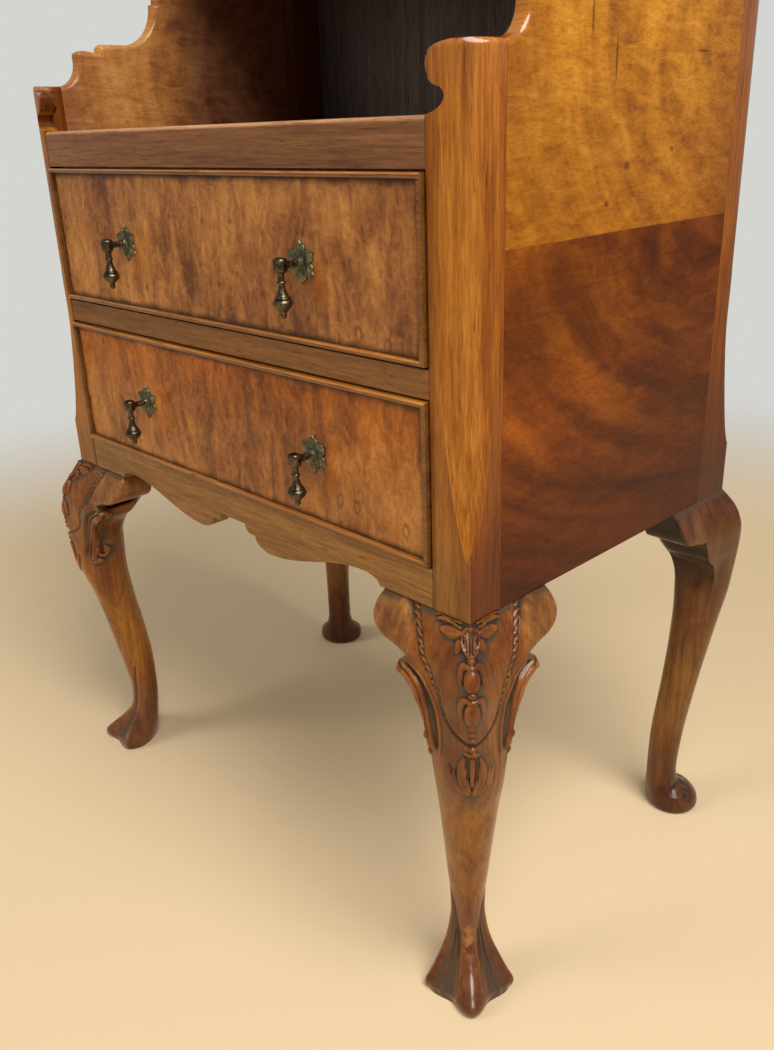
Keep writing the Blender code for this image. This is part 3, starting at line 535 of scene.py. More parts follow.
# Straight grain: scale along it of its stripes and of its pores, and where its three tones lie
GRAIN_STRETCH = 0.05
PORE_STRETCH = 0.08
GRAIN_STOPS = (0.38, 0.50, 0.62)


class GrainedWood(Finish):
    """Straight-grained wood under polish: drift, stripes, streaks, fibres and pores along one axis."""

    def __init__(self, name, grain, tones, stripe_scale=75.0, pitted=0.65):
        super().__init__(name)
        along = self.scaled([GRAIN_STRETCH if axis == grain else 1 for axis in "XYZ"])
        short = self.scaled([PORE_STRETCH if axis == grain else 1 for axis in "XYZ"])
        drift = self.noise(along, 14.0, 2.0)
        stripe = self.noise(along, stripe_scale, 4.0, 0.6, 0.4)
        streak = self.noise(along, 5.5 * stripe_scale, 3.0, 0.6)
        blend = drift * 0.22 + (stripe * 0.40 + streak * 0.38)
        self.base = self.ramp(blend, *zip(GRAIN_STOPS, tones))
        self.fibre = self.noise(short, 1000.0, 2.0, 0.6)
        self.tinted(self.between(self.fibre, 0.45, 0.72, 0.0, 0.45), (0.50, 0.38, 0.34))
        self.pores = self.between(self.noise(short, 620.0, 2.0, 0.5), 0.62, 0.70)
        self.tinted(self.pores * pitted, (0.30, 0.20, 0.16))

    def polish(self, roughness, coat=0.22, coat_roughness=0.10, relief=0.00006):
        """Set the surface under its polish, with the relief of fibres and pores."""
        self.set(Base_Color=self.base, Specular_IOR_Level=0.20)
        self.set(Coat_Weight=coat, Coat_Roughness=coat_roughness)
        self.set(Roughness=self.between(self.fibre, 0.3, 0.7, roughness - 0.05, roughness + 0.07))
        self.bump(self.fibre * 0.5 - self.pores, relief)
        return self.material


# Colours of the woods, each dark, middle and light
POST_TONES = (0.200, 0.060, 0.008), (0.345, 0.122, 0.015), (0.480, 0.192, 0.028)
RAIL_TONES = (0.116, 0.043, 0.0135), (0.187, 0.076, 0.022), (0.256, 0.110, 0.033)
BEAD_TONES = (0.090, 0.032, 0.007), (0.160, 0.060, 0.013), (0.230, 0.094, 0.020)
LEG_TONES = (0.128, 0.034, 0.006), (0.205, 0.062, 0.009), (0.292, 0.098, 0.014)
OAK_TONES = (0.300, 0.180, 0.080), (0.420, 0.270, 0.130), (0.520, 0.350, 0.180)
BACK_TONES = (0.042, 0.032, 0.026), (0.059, 0.045, 0.037), (0.081, 0.062, 0.051)

# Height of the joint between the two leaves of veneer on the sides
VENEER_JOINT = CASE_BASE + 0.2555


def post_walnut():
    """Golden walnut, redder low on the sides, rubbed on the tongue; painted highlight on the upper round,
    painted shade on inner faces.
    """
    wood = GrainedWood("post_walnut", "Z", POST_TONES, pitted=0.45)
    x, y, z = wood.axes()
    beside_panel = wood.between(abs(y - PANEL_LOW.y), 0.010, 0.002, 0.0, 0.7)
    wood.tinted(beside_panel, (0.62, 0.46, 0.42))
    beside_rail = wood.between(abs(x) - OPENING_HALF, 0.007, 0.001, 0.0, 0.7)
    wood.tinted(beside_rail, (0.52, 0.40, 0.42))
    face_x, face_y, _ = wood.facing()
    on_side = wood.between(abs(face_x), 0.72, 0.96)
    low = wood.between(z, CASE_BASE + 0.16, CASE_BASE + 0.02)
    wood.tinted(on_side * low, (0.52, 0.26, 0.18))
    foot = wood.between(z, CASE_BASE + 0.065, CASE_BASE + 0.025, 0.0, 0.9)
    wood.tinted(foot, (0.78, 0.88, 1.25))
    # Painted highlight: the upper part of the round corner is lighter where light falls on it.
    turned = wood.between(y, FRONT_Y + 0.008, FRONT_Y + 0.020)
    high = wood.between(z, CASE_BASE + 0.08, CASE_BASE + 0.15)
    wood.tinted(turned * high, (1.16, 1.12, 1.15))
    worn = wood.attribute("worn")
    wood.tinted(wood.between(worn, 0.1, 1.0, 0.0, 0.45), (1.75, 1.9, 2.2))
    wood.tinted(wood.between(worn, -0.1, -1.0), (0.82, 0.80, 0.88))
    at_back = wood.between(y, PANEL_LOW.y, PANEL_HIGH.y)
    wood.tinted(at_back * 0.75, (0.56, 0.46, 0.48))
    below = wood.between(z, VENEER_JOINT + 0.06, VENEER_JOINT - 0.10, 0.0, 0.7)
    wood.tinted(at_back * below, (0.57, 0.39, 0.36))
    # Painted shade on the faces that look into the case, such as the inner side of the front heads.
    inward = wood.between(face_x * wood.math("SIGN", x), -0.4, -0.7)
    wood.tinted(inward, (0.48, 0.40, 0.46))
    # Painted shade on the rear posts' faces that look forward into the compartment.
    ahead = wood.between(face_y, -0.4, -0.7)
    wood.tinted(at_back * ahead, (0.30, 0.24, 0.32))
    return wood.polish(0.30, wood.between(z, RAIL_TOP, HEAD_TOP, 0.15, 0.60), 0.08)


def rail_walnut():
    """Brown walnut with straight grain and a paler apron; painted highlight on the top rail's nose,
    painted sheen above the drawers.
    """
    wood = GrainedWood("rail_walnut", "X", RAIL_TONES)
    _, y, z = wood.axes()
    apron_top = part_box("apron_rail")[1].z
    wood.tinted(wood.between(z, apron_top + 0.002, apron_top), (1.42, 1.58, 1.22))
    # Painted sheen: a bluer, greyer tone on the top rail and the boards above it.
    above_drawers = wood.between(z, RAIL_TOP - 0.052, RAIL_TOP - 0.040)
    wood.tinted(above_drawers, (1.0, 1.05, 1.35))
    # Painted highlight along the rounded nose of the top rail.
    at_top = wood.between(z, RAIL_TOP - 0.0036, RAIL_TOP - 0.0012)
    nose = at_top * wood.between(y, FRONT_Y + 0.009, FRONT_Y + 0.004)
    wood.tinted(nose, (2.1, 2.4, 2.8))
    return wood.polish(0.33, nose * 0.5 + 0.2)


def bead_walnut():
    """Dark old polish with a painted golden highlight where the bead faces up."""
    wood = GrainedWood("bead_walnut", "X", BEAD_TONES)
    # Painted highlight: faces that look up are lighter and more golden.
    upward = wood.facing()[2]
    wood.tinted(wood.between(upward, 0.05, 0.75), (2.5, 2.35, 1.9))
    return wood.polish(0.22, 0.8, 0.08)


def leg_walnut():
    """Red-brown walnut: mottled knees, paler shafts, darker feet and rear legs, dust and painted shade in
    the carving.
    """
    wood = GrainedWood("leg_walnut", "Z", LEG_TONES, 48.0, 0.2)
    x, y, z = wood.axes()
    mottle = wood.noise(wood.scaled((1.0, 1.0, 0.7)), 34.0, 3.0, 0.6, 0.8)
    wood.tinted(wood.between(mottle, 0.52, 0.66, 0.0, 0.6), (0.56, 0.42, 0.44))
    wood.tinted(wood.between(mottle, 0.48, 0.36, 0.0, 0.5), (1.34, 1.42, 1.20))
    below_knee = wood.between(z, CASE_BASE - 0.115, CASE_BASE - 0.165)
    shaft = below_knee * wood.between(z, 0.080, 0.115)
    wood.tinted(shaft * 0.75, (1.56, 2.06, 1.80))
    above_floor = wood.between(z, 0.090, 0.040, 0.0, 0.9)
    wood.tinted(above_floor, (0.60, 0.56, 0.90))
    knee = wood.between(z, CASE_BASE - 0.125, CASE_BASE - 0.095)
    wood.tinted(knee, (0.88, 0.88, 0.95))
    from_faces = wood.math("MINIMUM", y - FRONT_Y, BACK_Y - y)
    from_corner = wood.math("MAXIMUM", from_faces, CASE_HALF - abs(x))
    beside_block = wood.between(from_corner, 0.042, 0.056)
    # Painted sheen: the ears are paler and greyer.
    ear_sheen = beside_block * wood.between(z, CASE_BASE - 0.060, CASE_BASE - 0.035)
    wood.tinted(ear_sheen, (1.18, 1.52, 2.40))
    rear = wood.between(y, -0.06, 0.10)
    wood.tinted(rear * 0.85, (0.62, 0.66, 0.95))
    # Painted shade on the rear knees under the case, darkest on their faces that look forward.
    shaded_rear_knee = wood.between(z, CASE_BASE - 0.12, CASE_BASE - 0.05) * rear
    wood.tinted(shaded_rear_knee * 0.6, (0.62, 0.40, 0.36))
    ahead = wood.between(wood.facing()[1], -0.45, -0.75)
    wood.tinted(shaded_rear_knee * ahead, (0.26, 0.42, 0.90))
    # Dust in the carving and painted shade in deep recesses, in the flutes and under the case; raised
    # places rubbed lighter.
    hollow = wood.attribute("hollow")
    wood.covered(wood.between(hollow, 0.02, 0.40, 0.0, 0.80), (0.056, 0.040, 0.024))
    wood.tinted(wood.between(hollow, 0.45, 0.95, 0.0, 0.85), (0.35, 0.32, 0.30))
    wood.tinted(wood.between(hollow, -0.05, -0.5, 0.0, 0.6), (1.45, 1.40, 1.30))
    ragged = wood.between(wood.noise(wood.place, 95.0, 3.0), 0.50, 0.60)
    wood.covered(wood.attribute("worn") * ragged * 0.7, (0.40, 0.160, 0.045))
    foot = wood.between(z, 0.10, 0.05) * (1.0 - rear)
    return wood.polish(0.28, wood.between(foot, 0.0, 1.0, 0.3, 0.8), 0.20)


# Burr: stops of its colour, the smears that hands left, and the band of dirty polish and painted shadow at
# its edges
BURR_STOPS = ((0.38, (0.128, 0.040, 0.013)), (0.46, (0.258, 0.090, 0.023)),
              (0.53, (0.372, 0.140, 0.031)), (0.62, (0.505, 0.210, 0.047)))
SMEAR_OFFSET = Vector((0.0175, 0.0, -0.014))
SMEAR_SIZE = (0.007, 0.022)
EDGE_DARKENING = 0.0065


def burr_walnut():
    """Burr veneer: soft flames and mottling, ringed eyes, red smears by the handles, dirty edges and
    painted shadow by the beads.
    """
    wood = Finish("burr_walnut")
    flame = wood.noise(wood.scaled((1.0, 1.0, 0.30)), 46.0, 3.0, 0.55, 1.3)
    mottle = wood.noise(wood.scaled((1.0, 1.0, 0.70)), 92.0, 4.0, 0.62, 1.6)
    cloud = wood.noise(wood.scaled((1.0, 1.0, 0.60)), 11.0, 2.0, 0.5, 0.8)
    wood.base = wood.ramp(flame * 0.36 + mottle * 0.28 + cloud * 0.36, *BURR_STOPS)
    burr_tone(wood)
    wood.covered(burr_eyes(wood), (0.085, 0.028, 0.013))
    wood.covered(handle_smears(wood), (0.400, 0.100, 0.012))
    fine = wood.noise(wood.scaled((1.0, 1.0, 0.45)), 420.0, 3.0, 0.7)
    wood.tinted(wood.between(fine, 0.42, 0.75, 0.0, 0.5), (0.52, 0.42, 0.40))
    ripple = wood.noise(wood.scaled((0.30, 1.0, 1.0)), 520.0, 2.0, 0.6)
    wood.tinted(wood.between(ripple, 0.40, 0.70, 0.0, 0.30), (0.60, 0.52, 0.50))
    # Dirty polish along the bead's inner edges, and painted shadow in the gaps behind the beads.
    wood.covered(drawer_edge(wood), (0.024, 0.012, 0.007))
    wood.set(Base_Color=wood.base, Coat_Weight=0.16, Coat_Roughness=0.10, Specular_IOR_Level=0.18)
    wood.set(Roughness=wood.between(fine, 0.3, 0.7, 0.26, 0.38))
    wood.bump(fine, 0.00004)
    return wood.material


def burr_tone(wood):
    """The upper front carries a bluer painted sheen, and the lower one is redder towards its top."""
    height = wood.axes()[2]
    low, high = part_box("lower_drawer_front")
    # Painted sheen: the upper front is bluer and greyer.
    sheened_base = wood.multiplied(wood.base, (1.02, 1.12, 1.38))
    wood.tinted(wood.between(height, low.z + 0.3 * (high.z - low.z), high.z), (1.02, 0.76, 0.36))
    wood.base = wood.mix(wood.between(height, high.z, high.z + 0.004), wood.base, sheened_base)


def burr_eyes(wood):
    """Share of the dark rings and specks of the burr's eyes."""
    x, _, z = wood.axes()
    inputs = (("Vector", wood.plane(x, z * 0.62)), ("Scale", 26.0))
    cells = wood.node("ShaderNodeTexVoronoi", inputs, feature="F1", voronoi_dimensions="2D")
    distance, chance = (Value(wood, cells.outputs[name]) for name in ("Distance", "Color"))
    reach = distance + wood.noise(wood.place, 190.0, 2.0) * 0.10
    waves = wood.between(wood.math("COSINE", reach * 46.0), -0.3, 1.0)
    rings = waves * wood.between(reach, 0.26, 0.08) * wood.between(chance, 0.58, 0.60)
    specks = wood.between(reach, 0.120, 0.070) * wood.between(chance, 0.38, 0.36)
    return wood.math("MAXIMUM", rings, specks) * 0.62


def handle_smears(wood):
    """Share of the redder polish that hands left beside each handle."""
    gaps = []
    for word in DRAWERS:
        for hand, _ in SIDES:
            low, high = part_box(f"{word}_{hand}_handle_plate")
            smear = (low + high) / 2 + SMEAR_OFFSET
            beside = wood.shifted((-smear.x, 0.0, -smear.z))
            gaps.append(wood.length(wood.scaled((1 / SMEAR_SIZE[0], 0.0, 1 / SMEAR_SIZE[1]), beside)))
    ragged = wood.extreme("MINIMUM", gaps) + wood.noise(wood.place, 130.0, 3.0) * 1.4
    return wood.between(ragged, 1.85, 0.8, 0.0, 0.6)


def drawer_edge(wood):
    """Share of dirty old polish along the bead's inner edges, and of painted shadow in the gaps behind the
    beads.
    """
    x, _, z = wood.axes()
    gaps = [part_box("lower_drawer_front")[1].x - BEAD_WIDTH - abs(x)]
    for word in DRAWERS:
        low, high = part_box(f"{word}_drawer_front")
        gaps += [abs(z - level) for level in (low.z + BEAD_WIDTH, high.z - BEAD_WIDTH)]
    wander = (wood.noise(wood.place, 60.0, 2.0) - 0.5) * 0.007
    return wood.between(wood.extreme("MINIMUM", gaps) + wander, EDGE_DARKENING, 0.0, 0.0, 0.88)


# Veneer figure, each place as (depth from the front, height over the case's base); knots add their size
UPPER_RINGS = (0.345, 0.385)
LOWER_RINGS = (0.360, 0.275)
PALE_BAND = 0.134
KNOTS = ((0.168, 0.299, 0.0040, 0.0030), (0.227, 0.308, 0.0025, 0.0020), (0.145, 0.275, 0.0030, 0.0022),
         (0.120, 0.392, 0.0014, 0.0130), (0.149, 0.366, 0.0016, 0.0170), (0.262, 0.374, 0.0090, 0.0012))
UPPER_STOPS = ((0.38, (0.255, 0.082, 0.008)), (0.50, (0.460, 0.182, 0.013)),
               (0.61, (0.610, 0.276, 0.025)))
LOWER_STOPS = ((0.39, (0.080, 0.0165, 0.0024)), (0.50, (0.142, 0.0325, 0.0034)),
               (0.60, (0.222, 0.060, 0.0050)))


def from_place(wood, depth, height, factors):
    """Scaled way of each point from a place on the sides."""
    return wood.scaled((0.0, *factors), wood.shifted((0.0, -FRONT_Y - depth, -CASE_BASE - height)))


def ring_figure(wood, centre, squeeze, sway):
    """Place among growth rings: how far from their centre and how far round it."""
    from_centre = from_place(wood, *centre, (squeeze, 1.0))
    _, y, z = wood.parts(from_centre)
    turn = wood.math("ARCTAN2", z, y * -1.0)
    return wood.plane(wood.length(from_centre) + sway * 0.032, turn * 0.03)


def knot_share(wood):
    """Share of the small dark knots and streaks on the outside of the upper leaf."""
    knots = []
    for depth, height, wide, tall in KNOTS:
        gap = wood.length(from_place(wood, depth, height, (1 / wide, 1 / tall)))
        knots.append(wood.between(gap, 1.3, 0.4))
    outside = wood.between(abs(wood.axes()[0]), PANEL_HIGH.x - 0.004, PANEL_HIGH.x - 0.001)
    return wood.extreme("MAXIMUM", knots) * 0.7 * outside


def upper_leaf(wood, ripple, sway):
    """Golden leaf: faint rings and ripple, small knots, and darker margins beside the posts."""
    _, y, z = wood.axes()
    rings = wood.noise(ring_figure(wood, UPPER_RINGS, 0.8, sway), 60.0, 4.0, 0.65, 0.3)
    wood.base = wood.ramp(rings * 0.40 + ripple * 0.36 + sway * 0.24, *UPPER_STOPS)
    wood.covered(knot_share(wood), (0.090, 0.030, 0.008))
    high = wood.between(z, VENEER_JOINT + 0.05, VENEER_JOINT + 0.10)
    front = wood.between(y, PANEL_LOW.y + 0.055, PANEL_LOW.y, 0.0, 0.9)
    wood.tinted(front * high, (0.66, 0.54, 0.75))
    rear = wood.between(y, PANEL_HIGH.y - 0.075, PANEL_HIGH.y)
    wood.tinted(rear, (0.72, 0.64, 0.64))
    low = wood.between(z, VENEER_JOINT + 0.15, VENEER_JOINT)
    wood.tinted(low, (0.74, 0.65, 0.62))
    return wood.base


def lower_leaf(wood, ripple, sway):
    """Red-brown leaf: broad curved bands, a golden patch towards the front, and a darker foot, partly its
    tone, partly painted shade.
    """
    _, y, z = wood.axes()
    rings = wood.noise(ring_figure(wood, LOWER_RINGS, 0.6, sway), 42.0, 5.0, 0.60, 0.15)
    wood.base = wood.ramp(rings * 0.62 + ripple * 0.26 + sway * 0.12, *LOWER_STOPS)
    pale = wood.between(abs(z - (CASE_BASE + PALE_BAND)), 0.065, 0.010)
    wood.tinted(pale * wood.between(y, FRONT_Y + 0.230, FRONT_Y + 0.060), (1.55, 1.50, 1.10))
    at_top = wood.between(z, VENEER_JOINT - 0.045, VENEER_JOINT)
    wood.tinted(at_top * wood.between(y, FRONT_Y + 0.120, FRONT_Y + 0.050), (1.65, 1.90, 1.50))
    rear = wood.between(y, FRONT_Y + 0.120, PANEL_HIGH.y)
    wood.tinted(rear, (0.77, 0.67, 0.70))
    # Darker towards the base: partly the leaf's own tone, partly painted shade of light falling from
    # above.
    foot = wood.between(z, CASE_BASE + 0.17, CASE_BASE)
    wood.tinted(foot, (0.48, 0.28, 0.24))
    return wood.base


def inner_face(wood):
    """The insides of the panels are duller, with painted shade towards the back of the compartment."""
    x, y, _ = wood.axes()
    dull = wood.multiplied(wood.base, (0.90, 0.98, 3.6))
    # Painted shade: the shelf's shadow deep in the compartment.
    dark = wood.multiplied(wood.base, (0.44, 0.43, 2.5))
    dull = wood.mix(wood.between(y, FRONT_Y + 0.14, FRONT_Y + 0.205), dull, dark)
    inside = wood.between(abs(x), PANEL_LOW.x + 0.003, PANEL_LOW.x + 0.001)
    wood.base = wood.mix(inside, wood.base, dull)


def veneer_walnut():
    """Two leaves of figured veneer, golden above and red-brown below, with curved bands and ripple."""
    wood = Finish("veneer_walnut")
    x, _, z = wood.axes()
    sway = wood.noise(wood.scaled((0.0, 1.0, 1.0)), 9.0, 2.0)
    ripple = wood.noise(wood.scaled((0.0, 0.28, 1.0)), 105.0, 4.0, 0.62, 0.9)
    lower = wood.between(z + sway * 0.002, VENEER_JOINT + 0.0014, VENEER_JOINT + 0.0002)
    wood.base = wood.mix(lower, upper_leaf(wood, ripple, sway), lower_leaf(wood, ripple, sway))
    inner_face(wood)
    fine = wood.noise(wood.scaled((0.0, 0.22, 1.0)), 640.0, 3.0, 0.7)
    wood.tinted(wood.between(fine, 0.42, 0.72, 0.0, 0.62), (0.60, 0.48, 0.42))
    pores = wood.between(wood.noise(wood.scaled((0.0, 1.0, 0.35)), 900.0, 2.0), 0.60, 0.72)
    wood.tinted(pores * 0.4, (0.35, 0.25, 0.2))
    middle, half = (PANEL_LOW.x + PANEL_HIGH.x) / 2, (PANEL_HIGH.x - PANEL_LOW.x) / 2
    coat = wood.between(abs(abs(x) - middle), half - 0.0016, half - 0.0002, 0.90, 0.10)
    wood.set(Base_Color=wood.base, Coat_Weight=coat, Coat_Roughness=0.10, Specular_IOR_Level=0.15)
    wood.set(Roughness=wood.between(fine, 0.3, 0.7, 0.28, 0.40))
    wood.bump(fine - pores, 0.00004)
    return wood.material


def drawer_oak():
    """Plain oak of the drawers' insides."""
    return GrainedWood("drawer_oak", "Y", OAK_TONES).polish(0.55, 0.05, 0.4, 0.0001)


# The back panel's near-black tone is partly its stain and partly painted shade of the deep compartment.
def stained_and_shaded_back():
    """Dark wood of the back panel, partly stained and partly painted shade of the compartment."""
    return GrainedWood("stained_and_shaded_back", "Z", BACK_TONES).polish(0.75, 0.0)


# Stops of the brass's colour, from tarnished to rubbed
BRASS_STOPS = (0.36, (0.040, 0.036, 0.026)), (0.52, (0.115, 0.095, 0.060)), (0.66, (0.230, 0.185, 0.110))


def antique_brass():
    """Dark tarnished brass; the plates are duller and greyer than the drops that hands rub."""
    metal = Finish("antique_brass")
    tarnish = metal.noise(metal.place, 420.0, 4.0, 0.65)
    cloud = metal.noise(metal.place, 90.0, 2.0)
    metal.base = metal.ramp(tarnish * 0.6 + cloud * 0.4, *BRASS_STOPS)
    dull = metal.between(metal.axes()[1], FRONT_Y - 0.009, FRONT_Y - 0.002)
    metal.tinted(dull, (1.75, 2.00, 2.00))
    rough = metal.between(tarnish, 0.35, 0.65, 0.24, 0.42) + dull * 0.16
    metal.set(Base_Color=metal.base, Metallic=1.0, Roughness=rough)
    metal.bump(tarnish, 0.00008)
    return metal.material


finishes = {make.__name__: make() for make in (
    post_walnut, rail_walnut, bead_walnut, leg_walnut,
    burr_walnut, veneer_walnut, drawer_oak, antique_brass)}


# Corner posts
def post_plan(width, depth, radius, bulge=1.0, notch=0.0, inset=0.0, flange=None):
    """Plan of a post from its rounded outer corner: across and in, clipped by the notch of its head.

    Where the post has a flange, only its front stands inside the case; the rest is level with the panel.
    """
    radius = max(POST_ARRIS, min(radius, width - POST_ARRIS, depth - POST_ARRIS))
    reach = width - notch
    shoulder = min(reach, CASE_HALF - PANEL_LOW.x) if flange else reach
    flange = flange or depth / 2
    start = math.degrees(math.acos(max(0.0, 1 - reach / radius)))
    curve = np.array(arc((radius, radius), radius, 180 + start, 180))
    chord = np.linspace(curve[0], curve[-1], len(curve))
    curve = chord + bulge * (curve - chord)
    worn = HEAD_ARRIS if notch else POST_ARRIS / 2
    edge = arc((reach - worn, worn), worn, 0, -90, 8)
    beside = (min(radius + POST_RUB, reach - worn), 0.0)
    if reach <= radius + worn:
        edge = [(reach, curve[0][1] + (depth - curve[0][1]) * t) for t in np.linspace(0.5, 0.3, 9)]
        beside = (reach, curve[0][1] + (depth - curve[0][1]) * 0.15)
    behind = (0.0, min(radius + POST_RUB, depth))
    inner_side = [(shoulder, depth), (shoulder, flange), (reach, flange)]
    points = [*inner_side, *edge, beside, *curve, behind, (0.0, depth)]
    return [(a + inset * (1 - 2 * a / reach), b + inset * (1 - b / depth)) for a, b in points]


def tongue_rings(width, depth):
    """Sections from the square foot of a post through its pointed tongue to the full round."""
    rings = [(CASE_BASE, post_plan(width, depth, 0.0))]
    for t in np.linspace(0, 1, TONGUE_ROWS) ** TONGUE_CROWDING:
        radius = POST_ROUND * t ** TONGUE_CURVE
        bulge = TONGUE_BULGE + (1 - TONGUE_BULGE) * ease((t - 0.5) / 0.5)
        height = CASE_BASE + TONGUE_POINT + TONGUE_LENGTH * t
        rings.append((height, post_plan(width, depth, radius, bulge)))
    return rings


def head_notch(rise):
    """How far the inner side of a post's head is cut back at a height above the rail."""
    if rise < HEAD_CUSP:
        across, up = HEAD_COVE
        cut = across * math.sqrt(max(0.0, 1 - ((up - rise) / up) ** 2))
        return max(0.0, HEAD_COVE_REACH - across + cut)
    upper = rise >= HEAD_CURL_MIDDLE
    curl = HEAD_CURL[upper]
    half = (HEAD_TOP - RAIL_TOP if upper else HEAD_CUSP) - HEAD_CURL_MIDDLE
    return curl - curl * math.sqrt(max(0.0, 1 - ((rise - HEAD_CURL_MIDDLE) / half) ** 2))


def scrolled_head(width, depth):
    """Sections of a front post's head: cove, cusp and curl on its inner side, and a rounded top."""
    rise = HEAD_TOP - RAIL_TOP
    rail_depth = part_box("top_rail")[1].y - FRONT_Y
    floor_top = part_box("compartment_floor")[1].z
    behind_rail = post_plan(width, depth, POST_ROUND, flange=rail_depth)
    rings = [(floor_top, post_plan(width, depth, POST_ROUND)), (floor_top + HEAD_STEP, behind_rail),
             (RAIL_TOP - HEAD_STEP, behind_rail)]
    levels = [HEAD_CUSP * t * t for t in np.linspace(0.02, 0.995, 18)]
    levels += [*np.linspace(HEAD_CUSP + 0.0003, rise - HEAD_NOSE, 20)]
    levels += [rise - HEAD_NOSE * (1 - math.sin(a)) for a in np.radians(np.linspace(12, 90, 8))]
    for level in levels:
        over = max(0.0, (level - rise + HEAD_NOSE) / HEAD_NOSE)
        inset = HEAD_NOSE * (1 - math.sqrt(max(0.0, 1 - over * over)))
        notch = min(head_notch(level), width * 0.5)
        plan = post_plan(width, depth, POST_ROUND, 1.0, notch, inset, HEAD_FLANGE)
        rings.append((RAIL_TOP + level, plan))
    return rings


def plain_head(width, depth, top):
    """Sections of a rear post's rounded top."""
    rings = []
    for angle in np.radians(np.linspace(0, 90, 9)):
        inset = HEAD_NOSE * (1 - math.cos(angle))
        height = top - HEAD_NOSE * (1 - math.sin(angle))
        rings.append((height, post_plan(width, depth, POST_ROUND, inset=inset)))
    return rings


def rubbed_edges(rings):
    """Rubbed places on a post: the edges of its tongue and the corner below.

    The flat beside the tongue is below zero.
    """
    heights = np.array([z for z, _ in rings]) - CASE_BASE
    columns = np.zeros(len(rings[0][1]))
    last = len(columns) - 3
    first = last - ARC_STEPS
    columns[[first, last]] = 1.0
    rise = 1 - ease((heights - TONGUE_POINT - 0.25 * TONGUE_LENGTH) / (0.75 * TONGUE_LENGTH))
    tip = heights <= TONGUE_POINT + 0.001
    along = np.where(tip[:, None], np.arange(len(columns))[None, :] >= first, columns[None, :])
    along[:, 3:first] = -1.0
    along[:, -2:] = 0.0
    return along * rise[:, None]


def add_posts():
    """The four corner posts."""
    width = CASE_HALF - OPENING_HALF
    for end, rear in ENDS:
        low, high = (REAR_POST_LOW, REAR_POST_HIGH) if rear else (POST_LOW, POST_HIGH)
        depth = high.y - low.y
        head = plain_head(width, depth, high.z) if rear else scrolled_head(width, depth)
        rings = tongue_rings(width, depth) + head
        points = np.array([[(-a, b, z) for a, b in ring] for z, ring in rings])
        for word, side in SIDES:
            node = f"{end}_{word}_post"
            mesh = loft_mesh(node, to_world(points, side, rear), POST_SMOOTH)
            store(mesh, "worn", rubbed_edges(rings))
            add_piece(node, mesh, "post_walnut")


# Scrolled side panels
def scroll_profile(front, base):
    """Cove, lip, step and large cove, climbing from (front, base) towards the back."""
    points = arc((front, base + SMALL_COVE), SMALL_COVE, -90, 0)
    y = front + SMALL_COVE
    lip = base + SMALL_COVE + SCROLL_LIP
    crown = [(y, lip - SCROLL_LIP * 0.45), (y + 0.0012, lip - SCROLL_FALL), (y + SCROLL_BUMP * 0.28, lip),
             (y + SCROLL_BUMP * 0.65, lip - SCROLL_FALL * 0.35), (y + SCROLL_BUMP, lip - SCROLL_FALL)]
    points += [tuple(p) for p in smooth_line(crown, 6)]
    y += SCROLL_BUMP
    points += arc((y + SCROLL_STEP, lip), SCROLL_STEP, 180, 90, 8)
    y += SCROLL_FLAT
    points += arc((y, lip + SCROLL_STEP + LARGE_COVE), LARGE_COVE, -90, 0)
    return points


def side_outline():
    """Outline of a side as (depth, height), with two scrolls up its front edge."""
    riser = PANEL_LOW.y + SCROLL_RUN + SCROLL_SETBACK
    shoulder_top = SHELF_TOP + SHOULDER_RISE
    base, rear = PANEL_LOW.z - SIDE_MARGIN, PANEL_HIGH.y + SIDE_MARGIN
    front = PANEL_LOW.y - SIDE_MARGIN
    lower = scroll_profile(PANEL_LOW.y, HEAD_TOP)
    shoulder = arc((riser + SHOULDER_ROUND, shoulder_top - SHOULDER_ROUND), SHOULDER_ROUND, 180, 90)
    upper = scroll_profile(PANEL_HIGH.y - SCROLL_RUN, shoulder_top)
    step = [(riser, lower[-1][1])]
    ends = [(rear, PANEL_HIGH.z), (rear, base), (front, base), (front, HEAD_TOP)]
    return [*ends, *lower, *step, *shoulder, *upper]


def add_board(node, outline, nose, view, slot="rail_walnut", cuts=()):
    """A board cut from an outline, as thick as its node."""
    low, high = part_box(node)
    axis = 1 if view is FRONT_VIEW else 0
    location = [0, 0, 0]
    location[axis] = (low[axis] + high[axis]) / 2
    mesh = board_mesh(node, outline, high[axis] - low[axis], nose, view, location, cuts)
    add_piece(node, mesh, slot, flat_faces=True)


def add_softened(node, arris, slot, body="cabinet"):
    """A node's own shape with worn arrises."""
    add_piece(node, softened_mesh(node, arris), slot, body, flat_faces=True)


def add_side_panels():
    """Both sides, cut flat at the base and where they meet the posts."""
    cuts = (((0, 0, PANEL_LOW.z), (0, 0, -1)), ((0, PANEL_LOW.y, 0), (0, -1, 0)),
            ((0, PANEL_HIGH.y, 0), (0, 1, 0)))
    for word, _ in SIDES:
        add_board(f"{word}_side_panel", side_outline(), SIDE_NOSE, SIDE_VIEW, "veneer_walnut", cuts)


